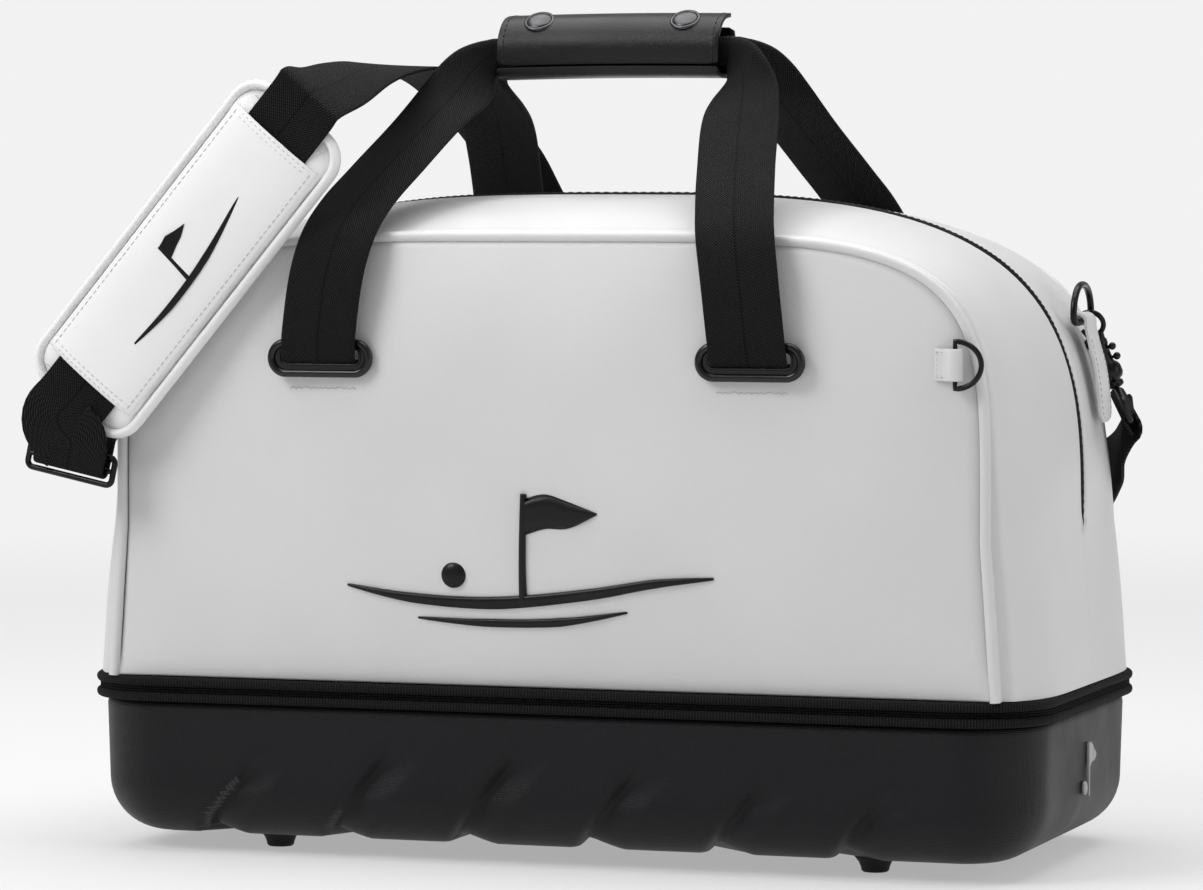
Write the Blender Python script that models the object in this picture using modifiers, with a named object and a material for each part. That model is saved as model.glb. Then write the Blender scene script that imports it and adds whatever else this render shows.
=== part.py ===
"""Golf duffel bag with a zip-off shoe compartment.

A soft white upper stands on a hard moulded shoe tray. The upper hinges on the tray's back edge,
its mouth opens between two folding handles, and a padded shoulder strap hangs on rings at both ends.

Units are metres, +Z is up, the front faces -Y, and the origin is on the floor under the bag's centre.
"""
from math import atan2, cos, pi, radians, sin

import bmesh
import bpy
from mathutils import Matrix, Vector

# --- shoe tray ---------------------------------------------------------------------------------
TRAY_HALF_X = 0.240
TRAY_HALF_Y = 0.113
TRAY_CORNER = 0.042
TRAY_BOTTOM = 0.008          # height of the underside, on its feet
TRAY_FILLET = 0.026          # radius between the floor and the walls
TRAY_TAPER = 0.002           # how much the walls lean in towards the floor
TRAY_WALL = 0.0035
FOOT_X = 0.153
FOOT_Y = 0.066
FOOT_RADIUS = 0.0085
GROOVE_PITCH = 0.065
GROOVE_DEPTH = 0.0020
GROOVE_LEAN = radians(36)    # from upright, towards +X going up

# --- rim bands and the zip between them -----------------------------------------------------------
BAND_HALF_X = 0.244
BAND_HALF_Y = 0.117
BAND_WIDTH = 0.0065
BAND_LOWER = (0.0745, 0.0792)
BAND_UPPER = (0.0818, 0.0865)
ZIP_LOWER = (0.0795, 0.0803)
ZIP_UPPER = (0.0807, 0.0815)
HINGE_Y = 0.1186             # axis of the fabric hinge along the back edge
HINGE_Z = 0.0805

# --- soft upper ----------------------------------------------------------------------------------
FOOT_Z = 0.0869              # lower edge of the panels
ARCH_Z = 0.160               # height where the sides start to curve in
FOOT_HALF_X = 0.2225         # half width of the front panel at its lower edge
PIPE_HALF_X = 0.2175         # half width of the front panel at ARCH_Z
PIPE_RISE = 0.1415           # from ARCH_Z to the top of the front panel
PIPE_POWER = 4.8             # superellipse power of the front panel's outline
CROWN = 0.0205               # how far the gusset stands proud half-way between front and back
CROWN_POWER = 3.3            # superellipse power of the outline there
SHOULDER_Z = 0.235           # above it the gusset is round from front to back
ROUND_SECTION = 2.4          # power of the gusset's section above the shoulder
SQUARE_SECTION = 7.0         # and at the rim, where it fills the band's corners
HALF_DEPTH = 0.110           # front piping to the centre
PANEL_BULGE = 0.012
PANEL_INSET = 0.0027         # panel edge to the piping's centre
SKIN = 0.0025
PIPE_RADIUS = 0.0021
SLIT = 0.0030                # half width of the gap that the main zip fills
MOUTH_HALF_X = 0.0955        # half length of the flaps that open
ARCH_PARTS = (0, 0.20, 0.36, 0.46, 0.54, 0.61, 0.69, 0.78, 0.89, 1)   # of the turn up to the mouth
GAP = 0.0004

# --- handles --------------------------------------------------------------------------------------
WEB_WIDTH = 0.038
WEB_THICKNESS = 0.0018
GROMMET_X = 0.108
GROMMET_Z = 0.2435
GROMMET_Y = 0.1231
HANDLE_PIVOT_Y = 0.1262      # axis that each handle folds about, just outside its grommets
HANDLE_PIVOT_Z = 0.2425
GRIP_HALF = 0.0575

# --- end rings, hooks and shoulder strap ------------------------------------------------------------
RING_PIVOT = Vector((0.2288, 0.033, 0.2600))
RING_HALF_Y = 0.0178
RING_RISE = 0.0182
RING_WIRE = 0.0017
RING_CORNER = 0.0040
# Direction of each hook's shank and of its eye's bar, both as seen on the right end.
RIGHT_HOOK = (Vector((0.26, 0.40, -0.88)).normalized(), Vector((0.40, -0.83, -0.40)))
LEFT_HOOK = (Vector((0.12, 0.78, -0.61)).normalized(), Vector((0.0, 0.61, 0.78)))
HOOK_LOOP = 0.0062           # centre-line radius of the hook's bow
HOOK_WIRE = 0.0013
EYE_BAR = 0.0485             # from the ring's wire down to the bar that takes the webbing
HOOK_BODY = ((0.0122, 0.0036), (0.0134, 0.0042), (0.0290, 0.0042), (0.0304, 0.0032), (0.0310, 0.0024),
             (0.0346, 0.0024))   # distance down from the ring's wire and radius there
PAD_CENTRE = Vector((-0.1768, -0.1290, 0.2905))
PAD_AXIS = Vector((0.640, 0.030, 0.768)).normalized()
PAD_SIZE = (0.184, 0.064, 0.008)
SLIDE_BAR = Vector((-0.2355, -0.1312, 0.1918))
SLIDE_LEAN = radians(12)     # the slide hangs lower at its right end
SLIDE_ALONG = Vector((cos(SLIDE_LEAN), 0, -sin(SLIDE_LEAN)))
SLIDE_UP = Vector((sin(SLIDE_LEAN), 0, cos(SLIDE_LEAN)))
ACCESSORY_BAR = Vector((0.2050, -0.1165, 0.2430))


# ===================================================================================================
# helpers
# ===================================================================================================
def clear_scene():
    for obj in list(bpy.data.objects):
        bpy.data.objects.remove(obj, do_unlink=True)


def make_collection(name):
    collection = bpy.data.collections.new(name)
    bpy.context.scene.collection.children.link(collection)
    return collection


def make_material(name, colour, roughness, metallic=0.0):
    material = bpy.data.materials.new(name)
    material.use_nodes = True
    shader = material.node_tree.nodes["Principled BSDF"]
    shader.inputs["Base Color"].default_value = (*colour, 1.0)
    shader.inputs["Roughness"].default_value = roughness
    shader.inputs["Metallic"].default_value = metallic
    return material


clear_scene()
PARTS = make_collection("golf_shoe_bag")
CUTTERS = make_collection("cutters")
GATE_HEELS = {}              # where each hook's gate turns, filled in as the hooks are built
WHITE_LEATHER = make_material("white_leather", (0.83, 0.82, 0.82), 0.42)
BLACK_LEATHER = make_material("black_leather", (0.02, 0.02, 0.022), 0.45)
WEBBING = make_material("webbing", (0.018, 0.018, 0.02), 0.8)
MOULDED = make_material("moulded_tray", (0.035, 0.032, 0.037), 0.55)
RUBBER = make_material("rubber", (0.02, 0.02, 0.02), 0.6)
ZIP_BLACK = make_material("zip_black", (0.012, 0.012, 0.013), 0.7)
BLACK_METAL = make_material("black_metal", (0.02, 0.02, 0.022), 0.3, 0.9)
GLOSS_PLASTIC = make_material("gloss_plastic", (0.012, 0.012, 0.013), 0.2)
BOARD = make_material("board", (0.05, 0.05, 0.055), 0.85)
BADGE_GREY = make_material("badge_grey", (0.32, 0.32, 0.33), 0.4)


def add_object(name, data, material, collection=None):
    data.materials.clear()
    data.materials.append(material)
    obj = bpy.data.objects.new(name, data)
    (collection or PARTS).objects.link(obj)
    return obj


def mesh_object(name, bm, material, smooth_angle=40, collection=None):
    mesh = bpy.data.meshes.new(name)
    bm.to_mesh(mesh)
    bm.free()
    mesh.shade_smooth()
    mesh.set_sharp_from_angle(angle=radians(smooth_angle))
    return add_object(name, mesh, material, collection)


def frame_matrix(origin, x_axis, z_axis):
    """A placement whose local X and Z follow the two directions given, squared up."""
    z_axis = z_axis.normalized()
    x_axis = (x_axis - x_axis.dot(z_axis) * z_axis).normalized()
    y_axis = z_axis.cross(x_axis)
    rotation = Matrix((x_axis, y_axis, z_axis)).transposed()
    return Matrix.Translation(origin) @ rotation.to_4x4()


def half_turn(point):
    """The same place on the other end of the bag: half a turn about the vertical axis."""
    return Vector((-point[0], -point[1], point[2]))


def loft(sections, closed=False):
    """A closed solid through a row of equal closed sections, with end faces unless it is a ring."""
    bm = bmesh.new()
    rings = [[bm.verts.new(p) for p in section] for section in sections]
    count = len(rings[0])
    pairs = list(zip(rings, rings[1:]))
    if closed:
        pairs.append((rings[-1], rings[0]))
    for low, high in pairs:
        for i in range(count):
            j = (i + 1) % count
            bm.faces.new((low[i], low[j], high[j], high[i]))
    if not closed:
        bm.faces.new(rings[0])
        bm.faces.new(rings[-1])
    bmesh.ops.recalc_face_normals(bm, faces=bm.faces)
    return bm


def sheet(rows, centre, skip=None):
    """An open surface through rows of points, facing away from centre."""
    bm = bmesh.new()
    grid = [[bm.verts.new(p) for p in row] for row in rows]
    for i in range(len(grid) - 1):
        for j in range(len(grid[0]) - 1):
            if skip and skip(i, j):
                continue
            bm.faces.new((grid[i][j], grid[i][j + 1], grid[i + 1][j + 1], grid[i + 1][j]))
    loose = [v for v in bm.verts if not v.link_faces]
    bmesh.ops.delete(bm, geom=loose, context="VERTS")
    return face_away(bm, centre)


def face_away(bm, centre):
    bmesh.ops.recalc_face_normals(bm, faces=bm.faces)
    bm.normal_update()
    outward = sum(f.normal.dot(f.calc_center_median() - centre) for f in bm.faces)
    if outward < 0:
        bmesh.ops.reverse_faces(bm, faces=bm.faces)
    return bm


def thicken(obj, thickness):
    """Turns a sheet into a wall that grows inwards from its outer face."""
    wall = obj.modifiers.new("wall", "SOLIDIFY")
    wall.thickness = thickness
    wall.offset = -1.0
    return obj


def smooth_path(points, steps):
    """Points on a Catmull-Rom curve through the given ones; each point may carry extra numbers."""
    padded = [points[0]] + list(points) + [points[-1]]
    path = []
    for k in range(1, len(padded) - 2):
        a, b, c, d = (Vector(p) for p in padded[k - 1:k + 3])
        for s in range(steps):
            t = s / steps
            path.append(0.5 * (2 * b + (c - a) * t + (2 * a - 5 * b + 4 * c - d) * t * t
                               + (3 * b - a - 3 * c + d) * t ** 3))
    path.append(Vector(points[-1]))
    return path


def tube(name, points, radius, material, closed=False, resolution=2):
    curve = bpy.data.curves.new(name, "CURVE")
    curve.dimensions = "3D"
    spline = curve.splines.new("POLY")
    spline.points.add(len(points) - 1)
    for node, point in zip(spline.points, points):
        node.co = (*point, 1.0)
    spline.use_cyclic_u = closed
    curve.bevel_depth = radius
    curve.bevel_resolution = resolution
    curve.use_fill_caps = not closed
    return add_object(name, curve, material)


def plate(name, outlines, thickness, matrix, material):
    """A flat plate: the first outline is its edge and any others are holes."""
    curve = bpy.data.curves.new(name, "CURVE")
    curve.dimensions = "2D"
    curve.fill_mode = "BOTH"
    curve.extrude = thickness / 2
    for outline in outlines:
        spline = curve.splines.new("POLY")
        spline.points.add(len(outline) - 1)
        for node, (x, y) in zip(spline.points, outline):
            node.co = (x, y, 0.0, 1.0)
        spline.use_cyclic_u = True
    obj = add_object(name, curve, material)
    obj.matrix_world = matrix
    return obj


def rounded_outline(half_x, half_y, radius, steps=4):
    """A rounded rectangle as (x, y) points, anticlockwise."""
    outline = []
    for corner in range(4):
        sx = 1 if corner in (0, 3) else -1
        sy = 1 if corner in (0, 1) else -1
        for s in range(steps + 1):
            angle = (corner + s / steps) * pi / 2
            x = sx * (half_x - radius) + radius * cos(angle)
            y = sy * (half_y - radius) + radius * sin(angle)
            outline.append((x, y))
    return outline


def box(name, size, matrix, material, bevel=0.0):
    """A rectangular block with its edges rounded, centred on the placement."""
    bm = bmesh.new()
    bmesh.ops.create_cube(bm, size=1.0, matrix=Matrix.Diagonal((*size, 1.0)))
    obj = mesh_object(name, bm, material)
    obj.matrix_world = matrix
    if bevel:
        rounding = obj.modifiers.new("rounding", "BEVEL")
        rounding.width = bevel
        rounding.segments = 2
    return obj


def cylinder(name, radius, height, matrix, material, top_radius=None, segments=16):
    bm = bmesh.new()
    bmesh.ops.create_cone(bm, cap_ends=True, segments=segments, radius1=radius,
                          radius2=radius if top_radius is None else top_radius, depth=height)
    obj = mesh_object(name, bm, material)
    obj.matrix_world = matrix
    return obj


def ribbon_sections(path):
    """Rectangular sections of a webbing: each path row is place, width direction, width, thickness."""
    sections = []
    last = len(path) - 1
    for k, row in enumerate(path):
        here = Vector(row[0:3])
        ahead = Vector(path[min(k + 1, last)][0:3])
        behind = Vector(path[max(k - 1, 0)][0:3])
        tangent = (ahead - behind).normalized()
        across = Vector(row[3:6])
        across = (across - across.dot(tangent) * tangent).normalized()
        normal = tangent.cross(across)
        side = across * row[6] / 2
        up = normal * row[7] / 2
        sections.append([here - side - up, here + side - up, here + side + up, here - side + up])
    return sections


def ribbon(name, rows, steps, material):
    """Webbing through hand-placed rows of (place, width direction, width, thickness)."""
    flat = [(*place, *across, width, thickness) for place, across, width, thickness in rows]
    path = smooth_path(flat, steps)
    return mesh_object(name, loft(ribbon_sections(path)), material)


# ===================================================================================================
# shapes shared by the upper's pieces
# ===================================================================================================
def crown_at(v, z=SHOULDER_Z):
    """How far the gusset stands proud at v, from -1 at the front piping to 1 at the back."""
    low = min(1.0, max(0.0, (SHOULDER_Z - z) / (SHOULDER_Z - 0.110)))
    power = ROUND_SECTION + (SQUARE_SECTION - ROUND_SECTION) * low * low * (3 - 2 * low)
    return CROWN * (1 - abs(v) ** power)


def outline_power(crown):
    """The outline is squarer at the piping than half-way between front and back."""
    return PIPE_POWER + (CROWN_POWER - PIPE_POWER) * max(crown, 0.0) / CROWN


def arch_point(angle, crown):
    """A point of the upper's outline seen from the front, at an angle about the arch centre."""
    half = PIPE_HALF_X + crown
    rise = PIPE_RISE + crown
    power = outline_power(crown)
    reach = ((abs(cos(angle)) / half) ** power + (abs(sin(angle)) / rise) ** power) ** (-1 / power)
    return reach * cos(angle), ARCH_Z + reach * sin(angle)


def arch_angle_at(x, crown):
    """The angle at which the outline reaches a given x on its upper part."""
    half = PIPE_HALF_X + crown
    rise = PIPE_RISE + crown
    power = outline_power(crown)
    z = rise * (1 - (abs(x) / half) ** power) ** (1 / power)
    return atan2(z, x)


def skirt_point(part, crown):
    """A point below the arch, from 0 at the lower edge to 1 at ARCH_Z."""
    half = (FOOT_HALF_X + (PIPE_HALF_X - FOOT_HALF_X) * part) + crown
    return half, FOOT_Z + (ARCH_Z - FOOT_Z) * part


def end_outline(crown, stop_x):
    """The outline from the right foot up and over to stop_x, with more points round the corner."""
    points = [skirt_point(s / 2, crown) for s in range(2)]
    stop = arch_angle_at(stop_x, crown)
    points += [arch_point(stop * part, crown) for part in ARCH_PARTS]
    return points


def gusset_outline(v, stop_x):
    """The end outline at v, whose crown changes with the height."""
    points = []
    for s in range(2):
        height = FOOT_Z + (ARCH_Z - FOOT_Z) * s / 2
        points.append(skirt_point(s / 2, crown_at(v, height)))
    stop = arch_angle_at(stop_x, crown_at(v))
    for part in ARCH_PARTS:
        _, height = arch_point(stop * part, crown_at(v))
        points.append(arch_point(stop * part, crown_at(v, height)))
    return points


def top_outline(crown):
    """The outline over the mouth, from right to left."""
    points = []
    for s in range(1, 6):
        x = MOUTH_HALF_X * (1 - s / 3)
        points.append(arch_point(arch_angle_at(x, crown), crown))
    return points


def whole_outline(crown):
    """The outline from the right foot over the top to the left foot."""
    right = end_outline(crown, MOUTH_HALF_X)
    left = [(-x, z) for x, z in reversed(right)]
    return right + top_outline(crown) + left


def panel_y(x, z):
    """Distance of the bulged front panel's face from the centre plane."""
    across = min(1.0, abs(x) / PIPE_HALF_X)
    up = min(1.0, abs(z - 0.195) / 0.110)
    return HALF_DEPTH + PANEL_BULGE * (1 - across ** 2.5) * (1 - up ** 2.5)


# ===================================================================================================
# shoe tray
# ===================================================================================================
def ring_band(name, heights, grow, width, material):
    """A flat band that follows the rim all the way round."""
    outer = rounded_outline(BAND_HALF_X + grow, BAND_HALF_Y + grow, TRAY_CORNER, 6)
    inner = rounded_outline(BAND_HALF_X + grow - width, BAND_HALF_Y + grow - width,
                            TRAY_CORNER - width, 6)
    low, high = heights
    sections = []
    for (ox, oy), (ix, iy) in zip(outer, inner):
        sections.append([Vector((ox, oy, low)), Vector((ox, oy, high)),
                         Vector((ix, iy, high)), Vector((ix, iy, low))])
    return mesh_object(name, loft(sections, closed=True), material)


def tray_shell():
    """The open moulded tray: a filleted floor, leaning walls and slanting grooves front and back."""
    bm = bmesh.new()
    rings = []
    top = BAND_LOWER[0] - GAP
    levels = []
    for s in range(5):
        angle = s / 4 * pi / 2
        levels.append((TRAY_BOTTOM + TRAY_FILLET * (1 - cos(angle)), TRAY_FILLET * (1 - sin(angle))))
    levels.append((top, 0.0))
    for z, inset in levels:
        lean = TRAY_TAPER * (top - z) / (top - TRAY_BOTTOM)
        shrink = inset + lean
        ring = rounded_outline(TRAY_HALF_X - shrink, TRAY_HALF_Y - shrink,
                               max(TRAY_CORNER - shrink, 0.012), 5)
        rings.append([bm.verts.new((x, y, z)) for x, y in ring])
    for low, high in zip(rings, rings[1:]):
        for i in range(len(low)):
            j = (i + 1) % len(low)
            bm.faces.new((low[i], low[j], high[j], high[i]))
    bm.faces.new(rings[0])
    face_away(bm, Vector((0, 0, 0.04)))
    shell = thicken(mesh_object("tray_shell", bm, MOULDED), TRAY_WALL)
    for side in (-1, 1):
        for k in range(6):
            cut_groove(shell, side, k)
    return shell


def cut_groove(shell, side, index):
    """A slanting V groove in the front (side -1) or back (side 1) wall."""
    x = -0.160 + GROOVE_PITCH * index
    edge = GROOVE_DEPTH + 0.004
    matrix = (Matrix.Translation((-side * x, side * (TRAY_HALF_Y - 0.001 + 0.004), 0.036))
              @ Matrix.Rotation(-side * GROOVE_LEAN, 4, "Y")
              @ Matrix.Rotation(pi / 4, 4, "Z"))
    cutter = box(f"groove_cutter_{side + 1}_{index}", (edge, edge, 0.044), matrix, MOULDED)
    PARTS.objects.unlink(cutter)
    CUTTERS.objects.link(cutter)
    cutter.display_type = "WIRE"
    cutter.hide_render = True
    cut = shell.modifiers.new(f"groove_{side + 1}_{index}", "BOOLEAN")
    cut.operation = "DIFFERENCE"
    cut.object = cutter


def tray_feet():
    for x_name, x_side in (("left", -1), ("right", 1)):
        for y_name, y_side in (("front", -1), ("rear", 1)):
            height = TRAY_BOTTOM - GAP
            place = Matrix.Translation((x_side * FOOT_X, y_side * FOOT_Y, height / 2))
            cylinder(f"foot_{y_name}_{x_name}", FOOT_RADIUS * 0.72, height, place, RUBBER,
                     top_radius=FOOT_RADIUS)


def rear_hinge_tape():
    """The fabric strip that joins the two bands along the back and bends as the upper tips."""
    matrix = Matrix.Translation((0, BAND_HALF_Y + 0.0010, 0.0805))
    box("rear_hinge_tape", (0.390, 0.0012, 0.0116), matrix, ZIP_BLACK)


def flag_outline(height):
    """A pin flag: an upright pole with a three-cornered pennant, as one outline."""
    pole = height * 0.035
    points = [(-pole, 0.0), (pole, 0.0), (pole, 0.50), (0.30, 0.64), (0.52, 0.77), (0.28, 0.86),
              (pole, 1.0), (-pole, 1.0)]
    return [(x * (height if abs(x) > pole else 1.0), y * height) for x, y in points]


def build_tray():
    tray_shell()
    tray_feet()
    ring_band("tray_rim_band", BAND_LOWER, 0.0, BAND_WIDTH, ZIP_BLACK)
    ring_band("shoe_zip_lower", ZIP_LOWER, -0.0016, 0.0046, ZIP_BLACK)
    rear_hinge_tape()
    matrix = frame_matrix(Vector((TRAY_HALF_X + 0.0004, 0.0, 0.032)), Vector((0, 1, 0)),
                          Vector((1, 0, 0)))
    plate("tray_badge", [flag_outline(0.026)], 0.0012, matrix, BADGE_GREY)


# ===================================================================================================
# upper
# ===================================================================================================
def end_gusset(side):
    """The end of the upper, from the front piping to the back one, with a slit for the main zip."""
    inset = PANEL_INSET / HALF_DEPTH
    slit = SLIT / HALF_DEPTH
    half_rows = [1 - inset, 0.88, 0.66, 0.40, 0.18, slit]
    rows = []
    for v in [-v for v in half_rows] + list(reversed(half_rows)):
        outline = gusset_outline(v, MOUTH_HALF_X + 0.0012)
        rows.append([Vector((side * x, v * HALF_DEPTH, z)) for x, z in outline])
    centre_row = len(half_rows) - 1

    def in_slit(i, j):
        return i == centre_row and rows[i][j].z > ARCH_Z - 0.001

    name = "end_gusset_right" if side > 0 else "end_gusset_left"
    surface = sheet(rows, Vector((0, 0, ARCH_Z)), in_slit)
    return thicken(mesh_object(name, surface, WHITE_LEATHER), SKIN)


def main_panel(side):
    """The bulged front (side -1) or back (side 1) panel."""
    outline = whole_outline(-PANEL_INSET)
    outline += [(x, FOOT_Z) for x in (-0.13, -0.04, 0.04, 0.13)]
    centre = Vector((0, 0.195))
    bm = bmesh.new()
    rings = []
    for scale in (1.0, 0.80, 0.52):
        ring = []
        for x, z in outline:
            x, z = centre + scale * (Vector((x, z)) - centre)
            ring.append(bm.verts.new((x, side * panel_y(x, z), z)))
        rings.append(ring)
    count = len(outline)
    for low, high in zip(rings, rings[1:]):
        for i in range(count):
            bm.faces.new((low[i], low[(i + 1) % count], high[(i + 1) % count], high[i]))
    middle = bm.verts.new((centre.x, side * panel_y(*centre), centre.y))
    for i in range(count):
        bm.faces.new((rings[-1][i], rings[-1][(i + 1) % count], middle))
    face_away(bm, Vector((0, 0, ARCH_Z)))
    name = "front_panel" if side < 0 else "back_panel"
    return thicken(mesh_object(name, bm, WHITE_LEATHER), SKIN)


def piping(side):
    points = [Vector((x, side * HALF_DEPTH, z)) for x, z in whole_outline(0.0)]
    tube("front_piping" if side < 0 else "back_piping", points, PIPE_RADIUS, WHITE_LEATHER)


def mouth_flap(side):
    """The half of the top between the piping and the zip that folds outwards to open the mouth."""
    inset = PANEL_INSET / HALF_DEPTH
    slit = SLIT / HALF_DEPTH
    rows = []
    for v in (1 - inset, 0.85, 0.6, 0.3, slit):
        row = []
        for s in range(7):
            x = MOUTH_HALF_X * (s / 3 - 1)
            _, z = arch_point(arch_angle_at(x, crown_at(v)), crown_at(v))
            row.append(Vector((x, side * v * HALF_DEPTH, z)))
        rows.append(row)
    name = "mouth_flap_front" if side < 0 else "mouth_flap_rear"
    return thicken(mesh_object(name, sheet(rows, Vector((0, 0, ARCH_Z))), WHITE_LEATHER), SKIN)


def zip_strip(name, points, y_low, y_high):
    """A thin strip of zip just under the surface, between two distances from the centre plane."""
    sections = []
    for x, z in points:
        radial = Vector((x, 0, z - ARCH_Z)).normalized()
        outer = Vector((x, 0, z)) - radial * 0.0008
        inner = outer - radial * 0.0012
        sections.append([Vector((outer.x, y_low, outer.z)), Vector((outer.x, y_high, outer.z)),
                         Vector((inner.x, y_high, inner.z)), Vector((inner.x, y_low, inner.z))])
    return mesh_object(name, loft(sections), ZIP_BLACK)


def main_zip():
    """The zip over the bag: a whole strip on each end and two halves along the mouth."""
    half = SLIT - GAP
    for name, side in (("left", -1), ("right", 1)):
        outline = end_outline(CROWN, MOUTH_HALF_X + 0.0012)
        run = [(side * x, z) for x, z in outline if z > ARCH_Z + 0.001]
        zip_strip(f"main_zip_{name}", run, -half, half)
    mouth = []
    for s in range(7):
        x = MOUTH_HALF_X * (s / 3 - 1)
        mouth.append(arch_point(arch_angle_at(x, CROWN), CROWN))
    zip_strip("mouth_zip_front", mouth, -half, -GAP / 2)
    zip_strip("mouth_zip_rear", mouth, GAP / 2, half)


def build_upper():
    ring_band("upper_rim_band", BAND_UPPER, 0.0, BAND_WIDTH, ZIP_BLACK)
    ring_band("shoe_zip_upper", ZIP_UPPER, -0.0016, 0.0046, ZIP_BLACK)
    inner_x = BAND_HALF_X - BAND_WIDTH - GAP
    inner_y = BAND_HALF_Y - BAND_WIDTH - GAP
    board = rounded_outline(inner_x, inner_y, TRAY_CORNER - BAND_WIDTH - GAP)
    plate("base_board", [board], 0.0035, Matrix.Translation((0, 0, 0.0843)), BOARD)
    for side in (-1, 1):
        main_panel(side)
        piping(side)
        end_gusset(side)
        mouth_flap(side)
    main_zip()


# ===================================================================================================
# grommets, handles and grip
# ===================================================================================================
def grommet(name, x, side):
    matrix = frame_matrix(Vector((x, side * GROMMET_Y, GROMMET_Z)),
                          Vector((1, 0, 0)), Vector((0, side, 0)))
    rim = rounded_outline(0.027, 0.0093, 0.0092, 5)
    slot = [(u, w + 0.0009) for u, w in rounded_outline(0.0208, 0.0042, 0.0032, 3)]
    plate(name, [rim, slot], 0.0034, matrix, GLOSS_PLASTIC)


def handle_rows(side):
    """Half of a handle, from its grommet up the leg and into the grip, on the left of the bag."""
    wide, thin = WEB_WIDTH, WEB_THICKNESS
    rows = [
        ((-0.1080, HANDLE_PIVOT_Y, HANDLE_PIVOT_Z), (1, 0, 0), wide, thin),
        ((-0.1077, 0.1266, 0.2470), (1, 0, 0), wide, thin),
        ((-0.1068, 0.1278, 0.2570), (1, 0, 0), wide, thin),
        ((-0.1035, 0.1264, 0.2830), (1, 0, 0), wide, thin),
        ((-0.0995, 0.1200, 0.3030), (1, 0, 0), wide, thin),
        ((-0.0950, 0.1060, 0.3185), (1, 0, 0), wide, thin),
        ((-0.0885, 0.0830, 0.3350), (1, 0, 0), wide, thin),
        ((-0.0800, 0.0500, 0.3570), (1, 0, 0), wide, thin),
        ((-0.0745, 0.0260, 0.3720), (0.95, 0, -0.3), 0.032, 0.0028),
        ((-0.0700, 0.0120, 0.3850), (0.50, 0, -0.86), 0.022, 0.0050),
        ((-0.0630, 0.0066, 0.3930), (0.10, 0, -0.99), 0.0172, 0.0072),
        ((-0.0560, 0.0063, 0.3942), (0, 0, -1), 0.0172, 0.0078),
        ((-0.0250, 0.0063, 0.3942), (0, 0, -1), 0.0172, 0.0078),
    ]
    return [((x, side * y, z), across, width, thickness) for (x, y, z), across, width, thickness in rows]


def handle(name, side):
    left = handle_rows(side)
    right = [((-x, y, z), (-a, b, c), width, thickness)
             for (x, y, z), (a, b, c), width, thickness in reversed(left)]
    return ribbon(name, left + right, 3, WEBBING)


def bent_sheet(name, profile, x_low, x_high, thickness, material, centre):
    """A sheet bent to a (y, z) profile and run along X; it thickens away from centre."""
    rows = [[Vector((x, y, z)) for x in (x_low, x_high)] for y, z in profile]
    obj = mesh_object(name, sheet(rows, centre), material)
    wall = obj.modifiers.new("wall", "SOLIDIFY")
    wall.thickness = thickness
    wall.offset = 1.0
    return obj


def grip():
    """The leather wrap: a trough on the rear handle and a flap that snaps over both handles."""
    centre = Vector((0, 0, 0.3945))
    trough = [(-0.0128, 0.3834), (-0.0100, 0.3816), (0.0095, 0.3816), (0.0118, 0.3840),
              (0.0118, 0.4050)]
    bent_sheet("grip_wrap", trough, -GRIP_HALF, GRIP_HALF, 0.0022, BLACK_LEATHER, centre)
    flap = [(-0.0115, 0.3845), (-0.0115, 0.4010), (-0.0085, 0.4062), (-0.0030, 0.4090),
            (0.0140, 0.4090)]
    bent_sheet("grip_flap", flap, -GRIP_HALF, GRIP_HALF, 0.0022, BLACK_LEATHER, centre)
    out = Vector((0, -0.454, 0.891))
    for name, x in (("left", -0.038), ("right", 0.038)):
        place = Vector((x, -0.00575, 0.4076)) + out * (0.0022 + 0.0004 + 0.0011)
        cylinder(f"grip_snap_{name}", 0.0065, 0.0020, frame_matrix(place, Vector((1, 0, 0)), out),
                 BLACK_METAL, top_radius=0.0048)


def build_handles():
    for row, side in (("front", -1), ("rear", 1)):
        for end, x in (("left", -GROMMET_X), ("right", GROMMET_X)):
            grommet(f"{row}_grommet_{end}", x, side)
        handle(f"{row}_handle_web", side)
    grip()


# ===================================================================================================
# sliders and pulls
# ===================================================================================================
def build_sliders():
    run = Vector((0.05, 0, 1)).normalized()
    out = Vector((-1, 0, 0.05)).normalized()
    body = Vector((-0.2408, 0, 0.176))
    box("main_zip_slider", (0.0042, 0.0090, 0.0130), frame_matrix(body, -out, run), BLACK_METAL, 0.0010)
    pull = [(-0.0040, -0.0300), (0.0040, -0.0300), (0.0032, 0.0), (-0.0032, 0.0)]
    matrix = frame_matrix(Vector((-0.2443, 0, 0.180)), Vector((0, 1, 0)), Vector((-1, 0, 0)))
    plate("main_zip_pull", [pull], 0.0016, matrix @ Matrix.Rotation(pi, 4, "X"), BLACK_METAL)
    body = Vector((-0.2467, 0.055, 0.0805))
    box("shoe_zip_slider", (0.0042, 0.0140, 0.0090), Matrix.Translation(body), BLACK_METAL, 0.0010)
    matrix = frame_matrix(Vector((-0.2500, 0.055, 0.0790)), Vector((0, 1, 0)), Vector((-1, 0, 0)))
    plate("shoe_zip_pull", [pull], 0.0016, matrix @ Matrix.Rotation(pi, 4, "X"), BLACK_METAL)


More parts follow.
